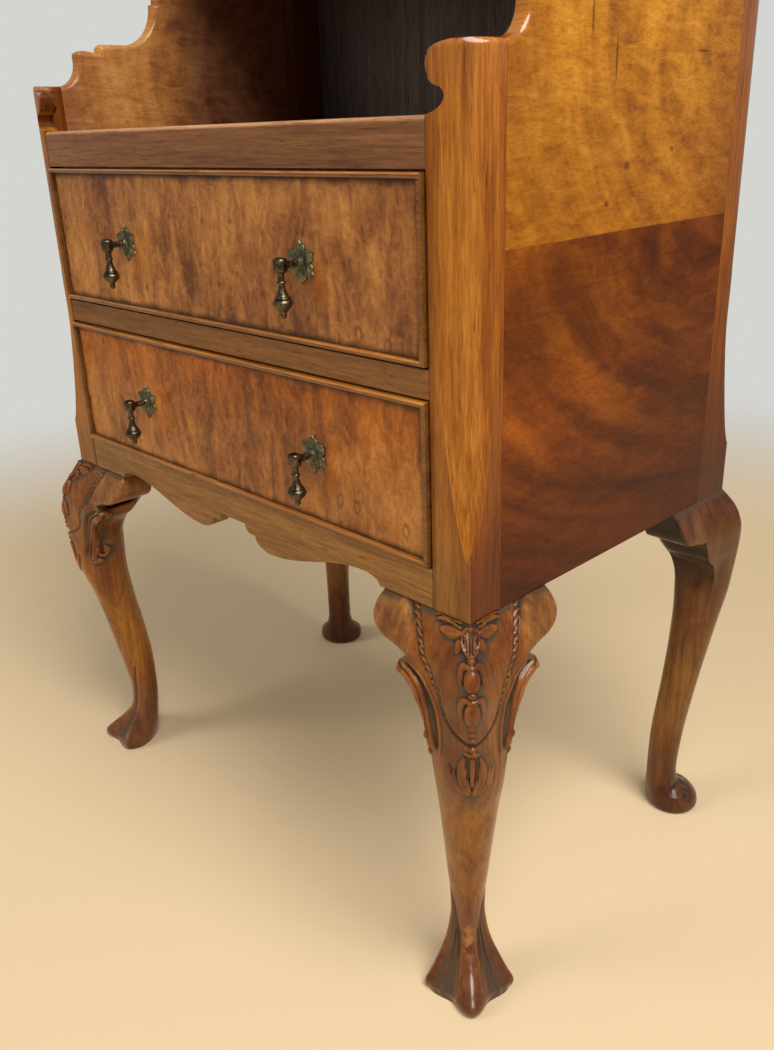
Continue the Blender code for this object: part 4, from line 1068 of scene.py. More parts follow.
# Rails and boards
def apron_edge(half, level):
    """Right half of the apron's shaped lower edge, from the middle to the post."""
    points = [(0.0, APRON_ARCH_RISE)]
    points += arc((APRON_ARCH + APRON_COVE, APRON_ARCH_RISE), APRON_COVE, 180, 270)
    low = APRON_ARCH_RISE - APRON_COVE
    x = APRON_ARCH + APRON_COVE + APRON_FILLET
    points += [(x, low)]
    for angle in np.radians(np.linspace(8, 90, ARC_STEPS)):
        fall = (APRON_DROP + low) * math.sin(angle)
        points.append((x + APRON_OVOLO * (1 - math.cos(angle)), low - fall))
    start, end = x + APRON_OVOLO, level - APRON_END_COVE
    for t in np.linspace(0, 1, 2 * ARC_STEPS)[1:]:
        rise = (APRON_DROP + APRON_HOLLOW_RISE) * ease(t) - APRON_DROP
        points.append((start + (end - start) * t, rise))
    for angle in np.radians(np.linspace(0, 90, ARC_STEPS)[1:]):
        points.append((end + APRON_END_COVE * math.sin(angle), APRON_HOLLOW_RISE * math.cos(angle)))
    return points + [(half, 0.0)]


def add_apron():
    """The apron, whose shaped edge ends at the ears of the front knees."""
    low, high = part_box("apron_rail")
    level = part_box("front_right_knee_ear_end")[0].x - GAP
    edge = [(x, CASE_BASE + z) for x, z in mirrored(apron_edge(high.x, level))]
    add_board("apron_rail", [(low.x, high.z), *edge, (high.x, high.z)], RAIL_ARRIS, FRONT_VIEW)


def add_top_rail():
    """The rail in front of the compartment, with a rounded upper edge."""
    low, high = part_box("top_rail")
    nose = arc((low.y + RAIL_NOSE, high.z - RAIL_NOSE), RAIL_NOSE, 180, 90)
    outline = [(low.y, low.z), *nose, (high.y, high.z), (high.y, low.z)]
    add_board("top_rail", outline, RAIL_END_ARRIS, SIDE_VIEW)


def add_gallery():
    """Low shaped back above the shelf: level ends, a cove on each side and a raised middle."""
    low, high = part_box("gallery_back")
    ends, crest = SHELF_TOP + GALLERY_END, SHELF_TOP + GALLERY_CREST
    x = high.x - GALLERY_SHOULDER
    points = [(0.0, crest)]
    for t in np.linspace(0.06, 1, ARC_STEPS):
        points.append(((x - GALLERY_COVE) * t, crest - (crest - ends - GALLERY_COVE) * ease(t)))
    points += arc((x, ends + GALLERY_COVE), GALLERY_COVE, 180, 270)
    points += [(high.x, ends), (high.x, low.z)]
    add_board("gallery_back", mirrored(points), GALLERY_ARRIS, FRONT_VIEW)


def add_plain_boards():
    """The rails, floor and shelf with plain edges, and the dark back, partly stained and partly painted
    shade.
    """
    for node in ("drawer_divider_rail", "rear_bottom_rail"):
        add_softened(node, RAIL_ARRIS, "rail_walnut")
    for node in ("compartment_floor", "upper_shelf"):
        add_softened(node, BOARD_ARRIS, "rail_walnut")
    frame["nodes"]["back_panel"].data.materials[0] = stained_and_shaded_back()


# Drawers
def bead_mesh(node):
    """A mitred frame with a half-round nose that stands proud of the drawer front."""
    low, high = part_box(node)
    radius = (BEAD_WIDTH - BEAD_INSET) / 2
    nose = arc((BEAD_INSET + radius, radius - BEAD_PROUD), radius, 180, 360, 12)
    section = [(BEAD_INSET, BEAD_DEPTH), *nose, (BEAD_WIDTH, BEAD_DEPTH)]
    corners = ((low.x, low.z, 1, 1), (high.x, low.z, -1, 1),
               (high.x, high.z, -1, -1), (low.x, high.z, 1, -1))
    loops = [[(x + sx * d, FRONT_Y + y, z + sz * d) for d, y in section] for x, z, sx, sz in corners]
    shape = bmesh.new()
    rows = [[shape.verts.new(point) for point in loop] for loop in loops]
    for i, row in enumerate(rows):
        for j in range(len(section)):
            shape.faces.new((rows[i - 1][j - 1], rows[i - 1][j], row[j], row[j - 1]))
    return finish_mesh(filled(bpy.data.meshes.new(node), shape), BEAD_SMOOTH)


def add_drawer(word):
    """A drawer's burr front, bead and oak lining, and the oak in the case that carries it."""
    body = f"{word}_drawer"
    frame["nodes"][f"{word}_drawer_front"].data.materials[0] = finishes["burr_walnut"]
    add_piece(f"{word}_cock_bead", bead_mesh(f"{word}_cock_bead"), "bead_walnut", body)
    for part in ("left_side", "right_side", "bottom", "back"):
        add_softened(f"{word}_drawer_{part}", LINING_ARRIS, "drawer_oak", body)
    for part in ("left_runner", "right_runner", "dust_panel", "drawer_stop"):
        add_softened(f"{word}_{part}", LINING_ARRIS, "drawer_oak")


# Drop handles
def plate_mesh(name):
    """A cast leaf of six broad lobes with nibbed tips, curled ends and veins, on a flat back."""
    low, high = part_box("upper_left_handle_plate")
    half_width, half_height = (high.x - low.x) / 2, (high.z - low.z) / 2
    turn = np.linspace(0, 2 * math.pi, PLATE_SPOKES, endpoint=False)[None, :]
    share = np.linspace(PLATE_BORE, 1, PLATE_RINGS)[:, None]
    off_lobe = np.sin(PLATE_LOBES * turn / 2)
    lobe = np.abs(np.cos(PLATE_LOBES * turn / 2))
    reach = PLATE_LOBE - PLATE_NOTCH * (1 - lobe) ** 1.6 + PLATE_NIB * bell(off_lobe, 0.17)
    across = -half_width * PLATE_STRETCH * share * reach * np.sin(turn)
    across = np.clip(across, -half_width, half_width)
    up = half_height * share * reach * np.cos(turn)
    swell = lobe ** 0.8 * np.sin(math.pi * share) ** 0.8
    curl = bell(share - PLATE_CURL, 0.11) * bell(off_lobe, 0.55)
    vein = bell(off_lobe, 0.12) * ease((PLATE_VEIN_END - share) / 0.1)
    fall = np.sqrt(np.clip((1.02 - share) / 0.10, 0, 1))
    relief = PLATE_RELIEF * (1 + swell + curl - 0.5 * vein) * fall + PLATE_EDGE
    top = np.stack((across, -relief, up), axis=-1)
    bore, back = (np.stack((across[k], np.zeros(PLATE_SPOKES), up[k]), axis=-1) for k in (0, -1))
    return loft_mesh(name, [bore, *top, back], PLATE_SMOOTH)


# Profile of a handle post as (radius, place): the tip of its stem, its ringed boss and riveted shank
TIP_PROFILE = (0, 0.0), (0.0020, 0.0), (0.0026, -0.0006)
BOSS_PROFILE = ((0.0026, 0.0052), (0.0031, 0.0048), (0.0031, 0.0042), (0.0026, 0.0038),
                (0.0030, 0.0036), (0.0043, 0.0029), (0.0047, 0.0018), (0.0045, 0.0009),
                (0.0050, 0.0004), (0.0050, 0.0), (0.0023, 0.0))
SHANK_PROFILE = ((0.0023, 0.0), (0.0050, 0.0), (0.0048, -0.0012), (0.0036, -RIVET_HEAD),
                 (0, -RIVET_HEAD))


def post_profile(inner):
    """Stem, boss and shank of a handle post, along its axis from the drawer front."""
    runs = ((STEM_END, TIP_PROFILE), (STEM_FACE, BOSS_PROFILE), (inner, SHANK_PROFILE))
    return [(r, place + z) for place, profile in runs for r, z in profile]


def cross_bar(name, profile, steps, depth=0.0):
    """A turned bar that lies across, in front of the origin by a depth; its profile is symmetric."""
    half = [(0, profile[0][1]), *profile]
    bar = turned_mesh(name, half + [(r, -z) for r, z in reversed(half)], steps)
    bar.transform(Matrix.Translation((0, -depth, 0)) @ Matrix.Rotation(QUARTER_TURN, 4, "Y"))
    return bar


def handle_post_mesh(name):
    """The turned post with the lug and cross pin that carry the drop; it points along -Y."""
    rear = FRONT_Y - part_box("upper_left_handle_post")[1].y
    turned = turned_mesh(name, post_profile(rear + RIVET_HEAD), STEM_STEPS)
    turned.transform(Matrix.Rotation(QUARTER_TURN, 4, "X"))
    thin, tall = LUG_HALF
    lug = box_mesh((-thin, -HANDLE_REACH, -tall), (thin, LUG_ROOT - STEM_END, tall))
    round_end = cross_bar("round_end", ((tall, thin),), LUG_STEPS, HANDLE_REACH)
    pin = cross_bar("pin", PIN_PROFILE, PIN_STEPS, HANDLE_REACH)
    return joined_mesh(name, turned, [("UNION", tool) for tool in (lug, round_end, pin)])


# Turned drop in millimetres: barrel head at the pivot, ringed neck, vase, double collar, bulb and tip
PENDANT_PROFILE = (
    (0, 5.3), (3.2, 5.3), (4.4, 4.9), (5.1, 4.0), (5.35, 2.6), (5.35, -2.4), (5.1, -3.9), (4.5, -4.7),
    (3.9, -5.2), (2.9, -5.6), (2.5, -6.4), (2.6, -9.2), (2.8, -10.9), (3.4, -11.3), (3.6, -11.9),
    (3.4, -12.5), (2.8, -12.9), (2.6, -14.2), (2.8, -16.0), (3.3, -18.0), (4.0, -20.0), (4.7, -21.5),
    (5.2, -22.2), (5.9, -22.5), (6.2, -23.0), (5.9, -23.5), (5.5, -23.8), (6.3, -24.1), (6.9, -24.9),
    (7.4, -25.8), (7.6, -26.7), (7.3, -27.9), (6.5, -29.3), (5.3, -30.7), (4.0, -31.9), (3.0, -32.7),
    (2.4, -33.4), (2.2, -34.2), (2.5, -35.0), (2.4, -36.2), (1.7, -37.4), (0.8, -37.9), (0, -38.0))


def pendant_mesh(name):
    """The drop with a slot in the back and top of its head and a hole for the pin, round its pivot."""
    slot = box_mesh(SLOT_LOW, SLOT_HIGH)
    hole = cross_bar("hole", HOLE_PROFILE, PIN_STEPS)
    body = turned_mesh(name, [(r * MM, z * MM) for r, z in PENDANT_PROFILE])
    return joined_mesh(name, body, [("DIFFERENCE", tool) for tool in (slot, hole)])


def add_handles():
    """Plate, post and drop of the four handles, each handle at its drop's pivot."""
    hinges = [joint for joint in frame["joints"] if joint["type"] == "hinge"]
    pivots = {joint["child"]: Vector(joint["pos_m"]) for joint in hinges}
    makers = {"handle_plate": plate_mesh, "handle_post": handle_post_mesh, "pendant": pendant_mesh}
    meshes = {part: maker(part) for part, maker in makers.items()}
    for word in DRAWERS:
        for hand, _ in SIDES:
            drop = f"{word}_{hand}_drop"
            x, y, z = pivots[drop]
            depths = {"handle_plate": FRONT_Y - GAP, "handle_post": FRONT_Y, "pendant": y}
            for part, mesh in meshes.items():
                placed = mesh.copy()
                placed.transform(Matrix.Translation((x, depths[part], z)))
                body = drop if part == "pendant" else f"{word}_drawer"
                add_piece(f"{word}_{hand}_{part}", placed, "antique_brass", body)


# Legs: a fine surface over the frame's sections, with the carving laid on it; row steps from the foot up
LEG_COLUMNS = {"front": (90, 28), "rear": (48, 12)}
LEG_STEPS = {"front": (0.0010, 0.0024, 0.0007), "rear": (0.0012, 0.0030, 0.0016)}
LEG_SMOOTH = math.radians(60)
ANKLE = 0.112
KNEE_DROP = 0.137
BLOCK_DROP = 42
BACK_CROWDING = 1.6
RING_POINTS = 20
SIDE_INDEX = 4
FINE_STEPS = 20
DIAGONAL = math.sqrt(2)


def leg_rings(node, rear):
    """Heights and plan sections of a right-hand leg, each from the middle of its back round its arris."""
    points = np.unique(np.round([v.co for v in frame["nodes"][node].data.vertices], 6), axis=0)
    heights = np.unique(np.round(points[:, 2], 5))
    rings = []
    for height in heights:
        ring = points[np.abs(points[:, 2] - height) < 2e-5]
        x = ring[:, 0] - CASE_HALF
        y = BACK_Y - ring[:, 1] if rear else ring[:, 1] - FRONT_Y
        out, across = (x - y) / DIAGONAL, (x + y) / DIAGONAL
        turn = np.arctan2(across - across.mean(), -(out - out.mean()))
        order = np.argsort(np.mod(-turn + 1e-4, 2 * math.pi))
        rings.append(np.stack((out[order], across[order]), axis=-1))
    return heights, np.array(rings)


def eased_run(t, start, end, leave, arrive):
    """Values between two ends, t of the way, that leave and arrive at given slopes."""
    back = (1 - t) ** 2
    return (1 + 2 * t) * back * start + t * back * leave + t * t * ((3 - 2 * t) * end + (t - 1) * arrive)


def between_levels(heights, values, wanted):
    """Values carried smoothly between levels without overshoot."""
    steps = np.diff(heights)
    shape = (-1,) + (1,) * (values.ndim - 1)
    slopes = np.diff(values, axis=0) / steps.reshape(shape)
    product = slopes[:-1] * slopes[1:]
    total = slopes[:-1] + slopes[1:]
    middle = np.where(product > 0, 2 * product / np.where(product > 0, total, 1.0), 0.0)
    tangents = np.concatenate((slopes[:1], middle, slopes[-1:]))
    i = np.clip(np.searchsorted(heights, wanted) - 1, 0, len(heights) - 2)
    h = steps[i].reshape(shape)
    t = ((wanted - heights[i]) / steps[i]).reshape(shape)
    return eased_run(t, values[i], values[i + 1], h * tangents[i], h * tangents[i + 1])


def round_run(points):
    """Fine points along runs of evenly spaced section points, with free ends."""
    tangents = np.empty_like(points)
    tangents[:, 1:-1] = (points[:, 2:] - points[:, :-2]) / 2
    tangents[:, 0] = (-3 * points[:, 0] + 4 * points[:, 1] - points[:, 2]) / 2
    tangents[:, -1] = (3 * points[:, -1] - 4 * points[:, -2] + points[:, -3]) / 2
    t = np.linspace(0, 1, FINE_STEPS, endpoint=False)[None, None, :, None]
    fine = eased_run(t, points[:, :-1, None], points[:, 1:, None],
                     tangents[:, :-1, None], tangents[:, 1:, None])
    return np.concatenate((fine.reshape(len(points), -1, 2), points[:, -1:]), axis=1)


def spread(lines, shares):
    """Each line again as points at shares of its length, and the lines' lengths."""
    lengths = np.linalg.norm(np.diff(lines, axis=1), axis=2)
    runs = np.concatenate((np.zeros((len(lines), 1)), np.cumsum(lengths, axis=1)), axis=1)
    even = [[np.interp(shares * run[-1], run, line[:, k]) for k in (0, 1)]
            for run, line in zip(runs, lines)]
    return np.moveaxis(np.array(even), 1, 2), runs[:, -1]


class LegSurface:
    """A leg's fine grid, laid to its corner's diagonal: rows by height, columns round the section."""

    def __init__(self, node, rear, levels, columns, back_columns):
        heights, rings = leg_rings(node, rear)
        self.heights = levels
        rings = between_levels(heights, rings, levels)
        front = round_run(rings[:, SIDE_INDEX:RING_POINTS - SIDE_INDEX + 1])
        back = np.concatenate((rings[:, RING_POINTS - SIDE_INDEX:], rings[:, :SIDE_INDEX + 1]), axis=1)
        middle = (front.shape[1] - 1) // 2
        share = np.linspace(0, 1, columns + 1)
        left, self.length = spread(front[:, middle::-1], share)
        right, _ = spread(front[:, middle:], share)
        half = 0.5 * np.linspace(0, 1, back_columns + 1) ** BACK_CROWDING
        past = np.concatenate((half[1:], 1 - half[-2:0:-1]))
        behind, back_length = spread(round_run(back), past)
        self.plan = np.concatenate((left[:, :0:-1], right, behind), axis=1)
        share = np.concatenate((-share[:0:-1], share))
        past = np.where(past < 0.5, past, past - 1)
        q_front = share[None, :] * self.length[:, None]
        q_back = np.sign(past)[None, :] * self.length[:, None] + past[None, :] * back_length[:, None]
        self.q = np.concatenate((q_front, q_back), axis=1) / MM
        self.past = np.abs(self.q) - self.length[:, None] / MM
        self.drop = np.broadcast_to((CASE_BASE - levels)[:, None] / MM, self.q.shape)
        self.face_columns = 2 * columns + 1

    def points(self):
        """Corner coordinates of the grid: out to the side, in from the face, height."""
        out, across = self.plan[..., 0], self.plan[..., 1]
        height = np.broadcast_to(self.heights[:, None], out.shape)
        return np.stack(((out + across) / DIAGONAL, (across - out) / DIAGONAL, height), axis=-1)

    def normals(self, points):
        """Unit normals; on the block at the top both carved faces keep their own up to their edges."""
        rows = np.gradient(points, axis=0)
        around = (np.roll(points, -1, axis=1) - np.roll(points, 1, axis=1)) / 2
        face = np.gradient(points[:, :self.face_columns], axis=1)
        blocky = (self.drop[:, :self.face_columns] < BLOCK_DROP)[..., None]
        around[:, :self.face_columns] = np.where(blocky, face, around[:, :self.face_columns])
        normals = np.cross(around, rows)
        return normals / np.maximum(np.linalg.norm(normals, axis=2, keepdims=True), 1e-12)


# Carving: heights in millimetres over q, the way round from the arris, and d, the drop below the case
ROPE_LINE = smooth_line(((53, -4), (52.5, 4), (52, 11), (51.4, 20), (50, 32), (42.5, 42), (35, 54),
                         (31, 69), (22, 79), (9, 84), (-3, 85)))
ROPE_LENGTH = 98.0
ROPE_PITCH = 5.6
ROPE_RISE = 2.7
ROPE_THIN = 1.2
ROPE_SWELL = 1.5
ROPE_GROOVE = 1.4
OUTER_RIDGE = smooth_line(((75, 45), (65, 50), (56, 58), (50, 73), (45.5, 92), (38, 109)))
INNER_RIDGE = smooth_line(((67, 43), (54, 47.5), (45, 56), (38, 70), (33, 89), (30, 108)))
SCROLL_TOP = smooth_line(((-2, 53), (2, 48), (7, 46.6), (11, 49), (10, 52.6)))
SCROLL_TAIL = smooth_line(((0.8, 88), (2.2, 97), (6.5, 104.4), (12, 105.6), (15.6, 101.2), (13.6, 96.8),
                           (10.6, 98.6)))
CABOCHON_DROP = 10.9
CABOCHON_RADII = (7.9, 9.0)
CABOCHON_RIM = 2.6
RIB_PITCH = 2.3
CHAIN_BEADS = ((21.3, 2.7), (44.2, 2.9), (69.3, 2.6), (74.5, 2.2), (79.3, 1.8), (88.5, 2.4))
CHAIN_BEAD_RISE = 2.1
HUSKS = ((24.4, 41.2), (47.6, 67.0))
HUSK_WIDTH = 6.5
HUSK_RISE = 3.2
KNEE_END = 140.0
WORN_PATCH = (288.0, 12.0, 331.0, 10.0)

# Leaves, each a line with its width, height and share of veins: beside the boss, and of the palmette
DRAPERY = ((((9, 1.6), (18, 0.2), (26, 0.2), (33, 2.2)), 1.7, 2.0),
           (((9, 4.2), (18, 2.8), (26, 2.8), (33, 4.8)), 1.7, 2.0),
           (((9, 7.4), (15, 8.2), (22, 9.2), (30, 9.6)), 4.2, 2.0, 0.2),
           (((7.2, 11.5), (10.0, 13.5), (12.5, 16.5), (13.8, 20.5)), 3.3, 2.0, 0.2))
PALMETTE = ((((1.5, 132), (6.0, 121), (7.8, 109), (6.0, 95.5)), 4.8, 2.4, 0.25),
            (((1.0, 135), (10.0, 128), (16.0, 119.5), (20.5, 108.5)), 3.5, 2.1, 0.3),
            (((8.0, 127), (13.0, 119), (15.0, 110)), 2.2, 1.7))

# Slits drilled in the palmette, each a place, a width, a length and a depth
SLITS = (4.4, 102.5, 0.9, 2.8, 2.8), (3.4, 114.5, 0.8, 2.6, 2.4)

# Ridges, each a line with its half width and height: both along the scroll, and the curls at its ends
SCROLL_RIDGES = (OUTER_RIDGE, 1.9, 2.3), (INNER_RIDGE, 1.8, 1.5)
SCROLL_CURLS = (SCROLL_TOP, 2.6, 2.4), (SCROLL_TAIL, 2.4, 2.4)

# Domes inside a knee, each a place, two radii and a height: knob, eye, small leaf and volute
SCROLL_DOMES = ((9.0, 50.6, 3.4, 3.0, 2.8), (12.4, 100.6, 2.8, 2.8, 2.9), (3.5, 112.0, 6.0, 3.8, 2.6),
                (2.5, 98.5, 4.4, 4.8, 4.6))

# Windows of the ground and the ledge inside a knee: start, rise, end and fall
GROUND_REACH = (54.0, 8.0, 94.0, 8.0)
LEDGE_REACH = (43.2, 0.9, 58.0, 7.0)
LEDGE_WIDTH = (8.0, 5.0, 44.0, 6.0)

# Flutes between the toes of a front foot, by height: share of the way round, width and depth
FLUTE_LEVELS = (0, 27, 53, 80, 104)
FLUTE_CENTRES = (0.60, 0.60, 0.60, 0.74, 0.94)
FLUTE_WIDTHS = (0.190, 0.190, 0.165, 0.100, 0.040)
FLUTE_DEPTHS = (2.6, 3.8, 3.6, 2.4, 1.3)
FLUTE_END = 105.5

# Roll on each side of a rear foot: its middle past the face and over the floor, its radii and its top
ROLL_MIDDLE = (-13.0, 20.0)
ROLL_RADII = (7.0, 5.0)
ROLL_TOP = 44


def rounded(x):
    """Section of a half round whose edges are at -1 and 1."""
    return np.sqrt(np.clip(1 - x * x, 0, 1))


def dome(q, d, at_q, at_d, wide, tall, height):
    """A domed oval."""
    return height * rounded(np.hypot((q - at_q) / wide, (d - at_d) / tall))


def window(x, low, rise, high, fall):
    """One between two places, with a soft rise after the first and a soft fall before the second."""
    return ease((x - low) / rise) * ease((high - x) / fall)


def along_line(q, d, line):
    """Distance to a line, how far along it the nearest place lies, and which side of it."""
    nearest = np.full(q.shape, np.inf)
    run = np.zeros(q.shape)
    hand = np.zeros(q.shape)
    start = 0.0
    for a, b in zip(line, line[1:]):
        step = b - a
        length = math.hypot(*step)
        t = np.clip(((q - a[0]) * step[0] + (d - a[1]) * step[1]) / length ** 2, 0, 1)
        gap_q, gap_d = q - a[0] - t * step[0], d - a[1] - t * step[1]
        gap = np.hypot(gap_q, gap_d)
        closer = gap < nearest
        nearest = np.where(closer, gap, nearest)
        run = np.where(closer, start + t * length, run)
        hand = np.where(closer, np.sign(gap_q * step[1] - gap_d * step[0]), hand)
        start += length
    return nearest, run / start, hand


def leaf(q, d, line, width, height, veins=0.0):
    """A pointed leaf along a line, thickest near its middle, with grooves along it."""
    gap, share, _ = along_line(q, d, smooth_line(line))
    half = np.maximum(width * np.sin(math.pi * np.clip(0.12 + 0.88 * share, 0, 1)) ** 0.8, 0.05)
    return height * rounded(gap / half) * (1 - veins * (0.5 + 0.5 * np.cos(gap / half * 7)))


def ridge(q, d, line, width, height):
    """A round ridge along a line, with soft ends."""
    gap, share, _ = along_line(q, d, line)
    return height * rounded(gap / width) * window(share, 0, 0.06, 1, 0.06)


def cabochon(a, d):
    """Oval boss with a raised rim and upright ribs."""
    reach = np.hypot(a / CABOCHON_RADII[0], (d - CABOCHON_DROP) / CABOCHON_RADII[1])
    rim = CABOCHON_RIM * rounded((reach - 0.88) / 0.13)
    inside = np.where(reach < 0.92, 1.0 + 0.6 * np.cos(2 * math.pi * a / RIB_PITCH), 0.0)
    return np.maximum(rim, inside)


def husk(a, d, top, bottom):
    """Bell husk: a long almond between two curved side petals."""
    middle, half = (top + bottom) / 2 + 0.8, (bottom - top) / 2
    v = (d - middle) / half
    width = HUSK_WIDTH * np.clip(1 - np.abs(v) ** 2.4, 0, 1) ** 0.6 + 0.01
    almond = HUSK_RISE * rounded(a / width) * rounded(v)
    side = ((2.5, top), (7.8, top + 2), (10.0, middle - 0.5), (9.0, bottom - 2.5))
    petal = leaf(a, d, side, 2.9, 2.2, 0.2)
    crown = dome(a, d, 0.0, top + 1.2, 4.6, 2.2, 2.3)
    return np.maximum.reduce((almond, petal, crown))


def palmette(a, d):
    """Ornament below the chain of husks: upright leaves with drilled slits, and horns from its foot."""
    leaves = [leaf(a, d, *each) for each in PALMETTE]
    stem = 2.0 * rounded(a / 1.9) * window(d, 95, 3, 130, 8)
    collar = dome(a, d, 0.0, 93.0, 7.0, 2.2, 2.0)
    raised = np.maximum.reduce((*leaves, stem, collar))
    for at_q, at_d, wide, tall, depth in SLITS:
        raised = raised - depth * bell(a - at_q, wide) * bell(d - at_d, tall)
    return raised


def scroll(a, d, past):
    """The C-scroll down the edge of a knee: an outer roll, two ridges with a hollow, and end curls."""
    gap, share, hand = along_line(a, d, OUTER_RIDGE)
    fade = window(share, 0, 0.08, 1, 0.08)
    roll = np.where(hand > 0, 2.1 * rounded((gap - 5.4) / 4.6), 0.0) * fade
    quirk = 1.5 * bell(hand * gap - 1.9, 0.8) * fade
    gap, share, _ = along_line(a, d, (OUTER_RIDGE + INNER_RIDGE) / 2)
    hollow = 2.3 * bell(gap, 3.2) * window(share, 0, 0.12, 1, 0.12)
    ridges = [ridge(a, d, *each) for each in SCROLL_RIDGES]
    curls = [ridge(past, d, *each) for each in SCROLL_CURLS]
    domes = [dome(past, d, *each) for each in SCROLL_DOMES]
    return np.maximum.reduce((*ridges, roll, *curls, *domes)) - quirk - hollow + inner_ground(d, past)


def inner_ground(d, past):
    """Inner side of a knee: a sunk ground inside the scroll, and a ledge with a groove under the ear."""
    ground = 0.9 * ease((past - 6.0) / 6.0) * window(d, *GROUND_REACH)
    ledge = 1.6 * window(d, *LEDGE_REACH) - 2.0 * bell(d - 41.2, 1.5)
    return ledge * window(past, *LEDGE_WIDTH) - ground


def rope(a, d):
    """A line cut round the field of the knee with a twisted cord in it, which thins out downwards."""
    gap, share, hand = along_line(a, d, ROPE_LINE)
    run = share * np.linalg.norm(np.diff(ROPE_LINE, axis=0), axis=1).sum()
    half = ROPE_THIN + ROPE_SWELL * ease((80.0 - run) / 65.0)
    corded = ease((ROPE_LENGTH - run) / 40.0)
    groove = ROPE_GROOVE * np.exp(-(gap / (half + 0.5)) ** 4)
    twist = 0.60 + 0.28 * np.cos(2 * math.pi * (run / ROPE_PITCH + hand * gap * 0.17))
    twist = twist + 0.16 * np.cos(2 * math.pi * run / 3.7 + 1.3) * np.cos(run / 9.0)
    return ROPE_RISE * rounded(gap / half) * twist * corded - groove, hand * gap


def ear_pillow(d, beyond):
    """Swelling of the ear outside the cord."""
    return 1.5 * ease((beyond - 1.5) / 11.0) * ease((40.0 - d) / 8.0)


def knee_carving(q, d, past):
    """All carving of a front knee."""
    a = np.abs(q)
    line, beyond = rope(a, d)
    chain = [dome(a, d, 0.0, at, size, size, CHAIN_BEAD_RISE) for at, size in CHAIN_BEADS]
    chain += [husk(a, d, *ends) for ends in HUSKS]
    leaves = [leaf(a, d, *each) for each in DRAPERY]
    raised = np.maximum.reduce((cabochon(a, d), *leaves, palmette(a, d), *chain))
    return raised + line + ear_pillow(d, beyond) * (past <= 0) + scroll(a, d, past)


def foot_carving(q, d, length):
    """Toes of a front foot with a flute and a thin rib between them, and how deep each place lies."""
    past = np.abs(q) - length
    share = np.abs(q) / length
    height = CASE_BASE / MM - d
    centre = np.interp(height, FLUTE_LEVELS, FLUTE_CENTRES)
    width = np.interp(height, FLUTE_LEVELS, FLUTE_WIDTHS)
    depth = np.interp(height, FLUTE_LEVELS, FLUTE_DEPTHS)
    sunk = bell(share - centre, width) * ease((FLUTE_END - height) / 2.5)
    rib = 1.5 * bell(share - centre - 0.06, 0.042) * ease((72.0 - height) / 30.0)
    toe = 2.0 * bell(past + 2.0, 3.4) * ease((52.0 - height) / 30.0)
    middle = 1.3 * rounded(share / 0.36) * ease((60.0 - height) / 40.0)
    ground = ease((height + 1.0) / 5.0)
    return (rib + toe + middle - depth * sunk) * ground, sunk - 0.35 * rib


def rear_carving(d, past):
    """A scrolled roll on each side of a rear foot: a dimple with a groove curling over it."""
    height = CASE_BASE / MM - d
    across, up = (past - ROLL_MIDDLE[0]) / ROLL_RADII[0], (height - ROLL_MIDDLE[1]) / ROLL_RADII[1]
    reach = np.hypot(across, up)
    groove = bell(reach - 1.9, 0.34) * ease((height - 17.0) / 9.0)
    return -(1.5 * bell(reach, 1.0) + 1.3 * groove) * (height < ROLL_TOP)


def blurred(values, passes, closed):
    """Values softened over the grid; its columns close in a ring or end at free edges."""
    for _ in range(passes):
        padded = np.pad(values, ((0, 0), (1, 1)), "wrap" if closed else "edge")
        values = (padded[:, :-2] + padded[:, 1:-1] + padded[:, 2:]) / 3
        padded = np.pad(values, ((1, 1), (0, 0)), "edge")
        values = (padded[:-2] + padded[1:-1] + padded[2:]) / 3
    return values


def dust_and_shade(relief, drop, closed=True):
    """Share of dust and painted shade: how far each place lies below the carving around it, and a painted
    shadow line under the case.
    """
    sunk = blurred(relief, 6, closed) - relief + 0.8 * (blurred(relief, 36, closed) - relief)
    return sunk + 0.45 * bell(drop, 4.5)


def leg_levels(end):
    """Heights of a leg's rows, closer together where it is carved."""
    bounds = (0.0, ANKLE, CASE_BASE - KNEE_DROP, LEG_TOP)
    levels = [np.linspace(a, b, int((b - a) / step), endpoint=False)
              for a, b, step in zip(bounds, bounds[1:], LEG_STEPS[end])]
    return np.concatenate((*levels, [LEG_TOP]))


def front_leg(surface):
    """Carving of a front leg, its share of dust and painted shade, and where its polish is worn."""
    relief = knee_carving(surface.q, surface.drop, surface.past) * ease((KNEE_END - surface.drop) / 4.0)
    toes, sunk = foot_carving(surface.q, surface.drop, surface.length[:, None] / MM)
    # The flutes of the foot get painted shade on top of the carving's dust and shade.
    hollow = dust_and_shade(relief, surface.drop) + 0.52 * sunk
    ridge_top = ease(1 - np.abs(surface.q) / 8.0) * (surface.past < 0)
    return relief + toes, hollow, ridge_top * window(surface.drop, *WORN_PATCH)


def rear_leg(surface):
    """Carving of a rear leg and its share of dust and painted shade; nothing is worn."""
    relief = rear_carving(surface.drop, surface.past)
    return relief, dust_and_shade(relief, surface.drop), np.zeros_like(relief)


def add_legs():
    """The four legs, kept inside the case's box."""
    for end, rear in ENDS:
        surface = LegSurface(f"{end}_right_leg", rear, leg_levels(end), *LEG_COLUMNS[end])
        relief, hollow, worn = rear_leg(surface) if rear else front_leg(surface)
        points = surface.points()
        points = points + surface.normals(points) * relief[..., None] * MM
        for hand, side in SIDES:
            node = f"{end}_{hand}_leg"
            placed = np.clip(to_world(points, side, rear), tuple(cad_box[0]), (*cad_box[1][:2], LEG_TOP))
            mesh = loft_mesh(node, placed, LEG_SMOOTH)
            store(mesh, "hollow", hollow)
            store(mesh, "worn", worn)
            add_piece(node, mesh, "leg_walnut")


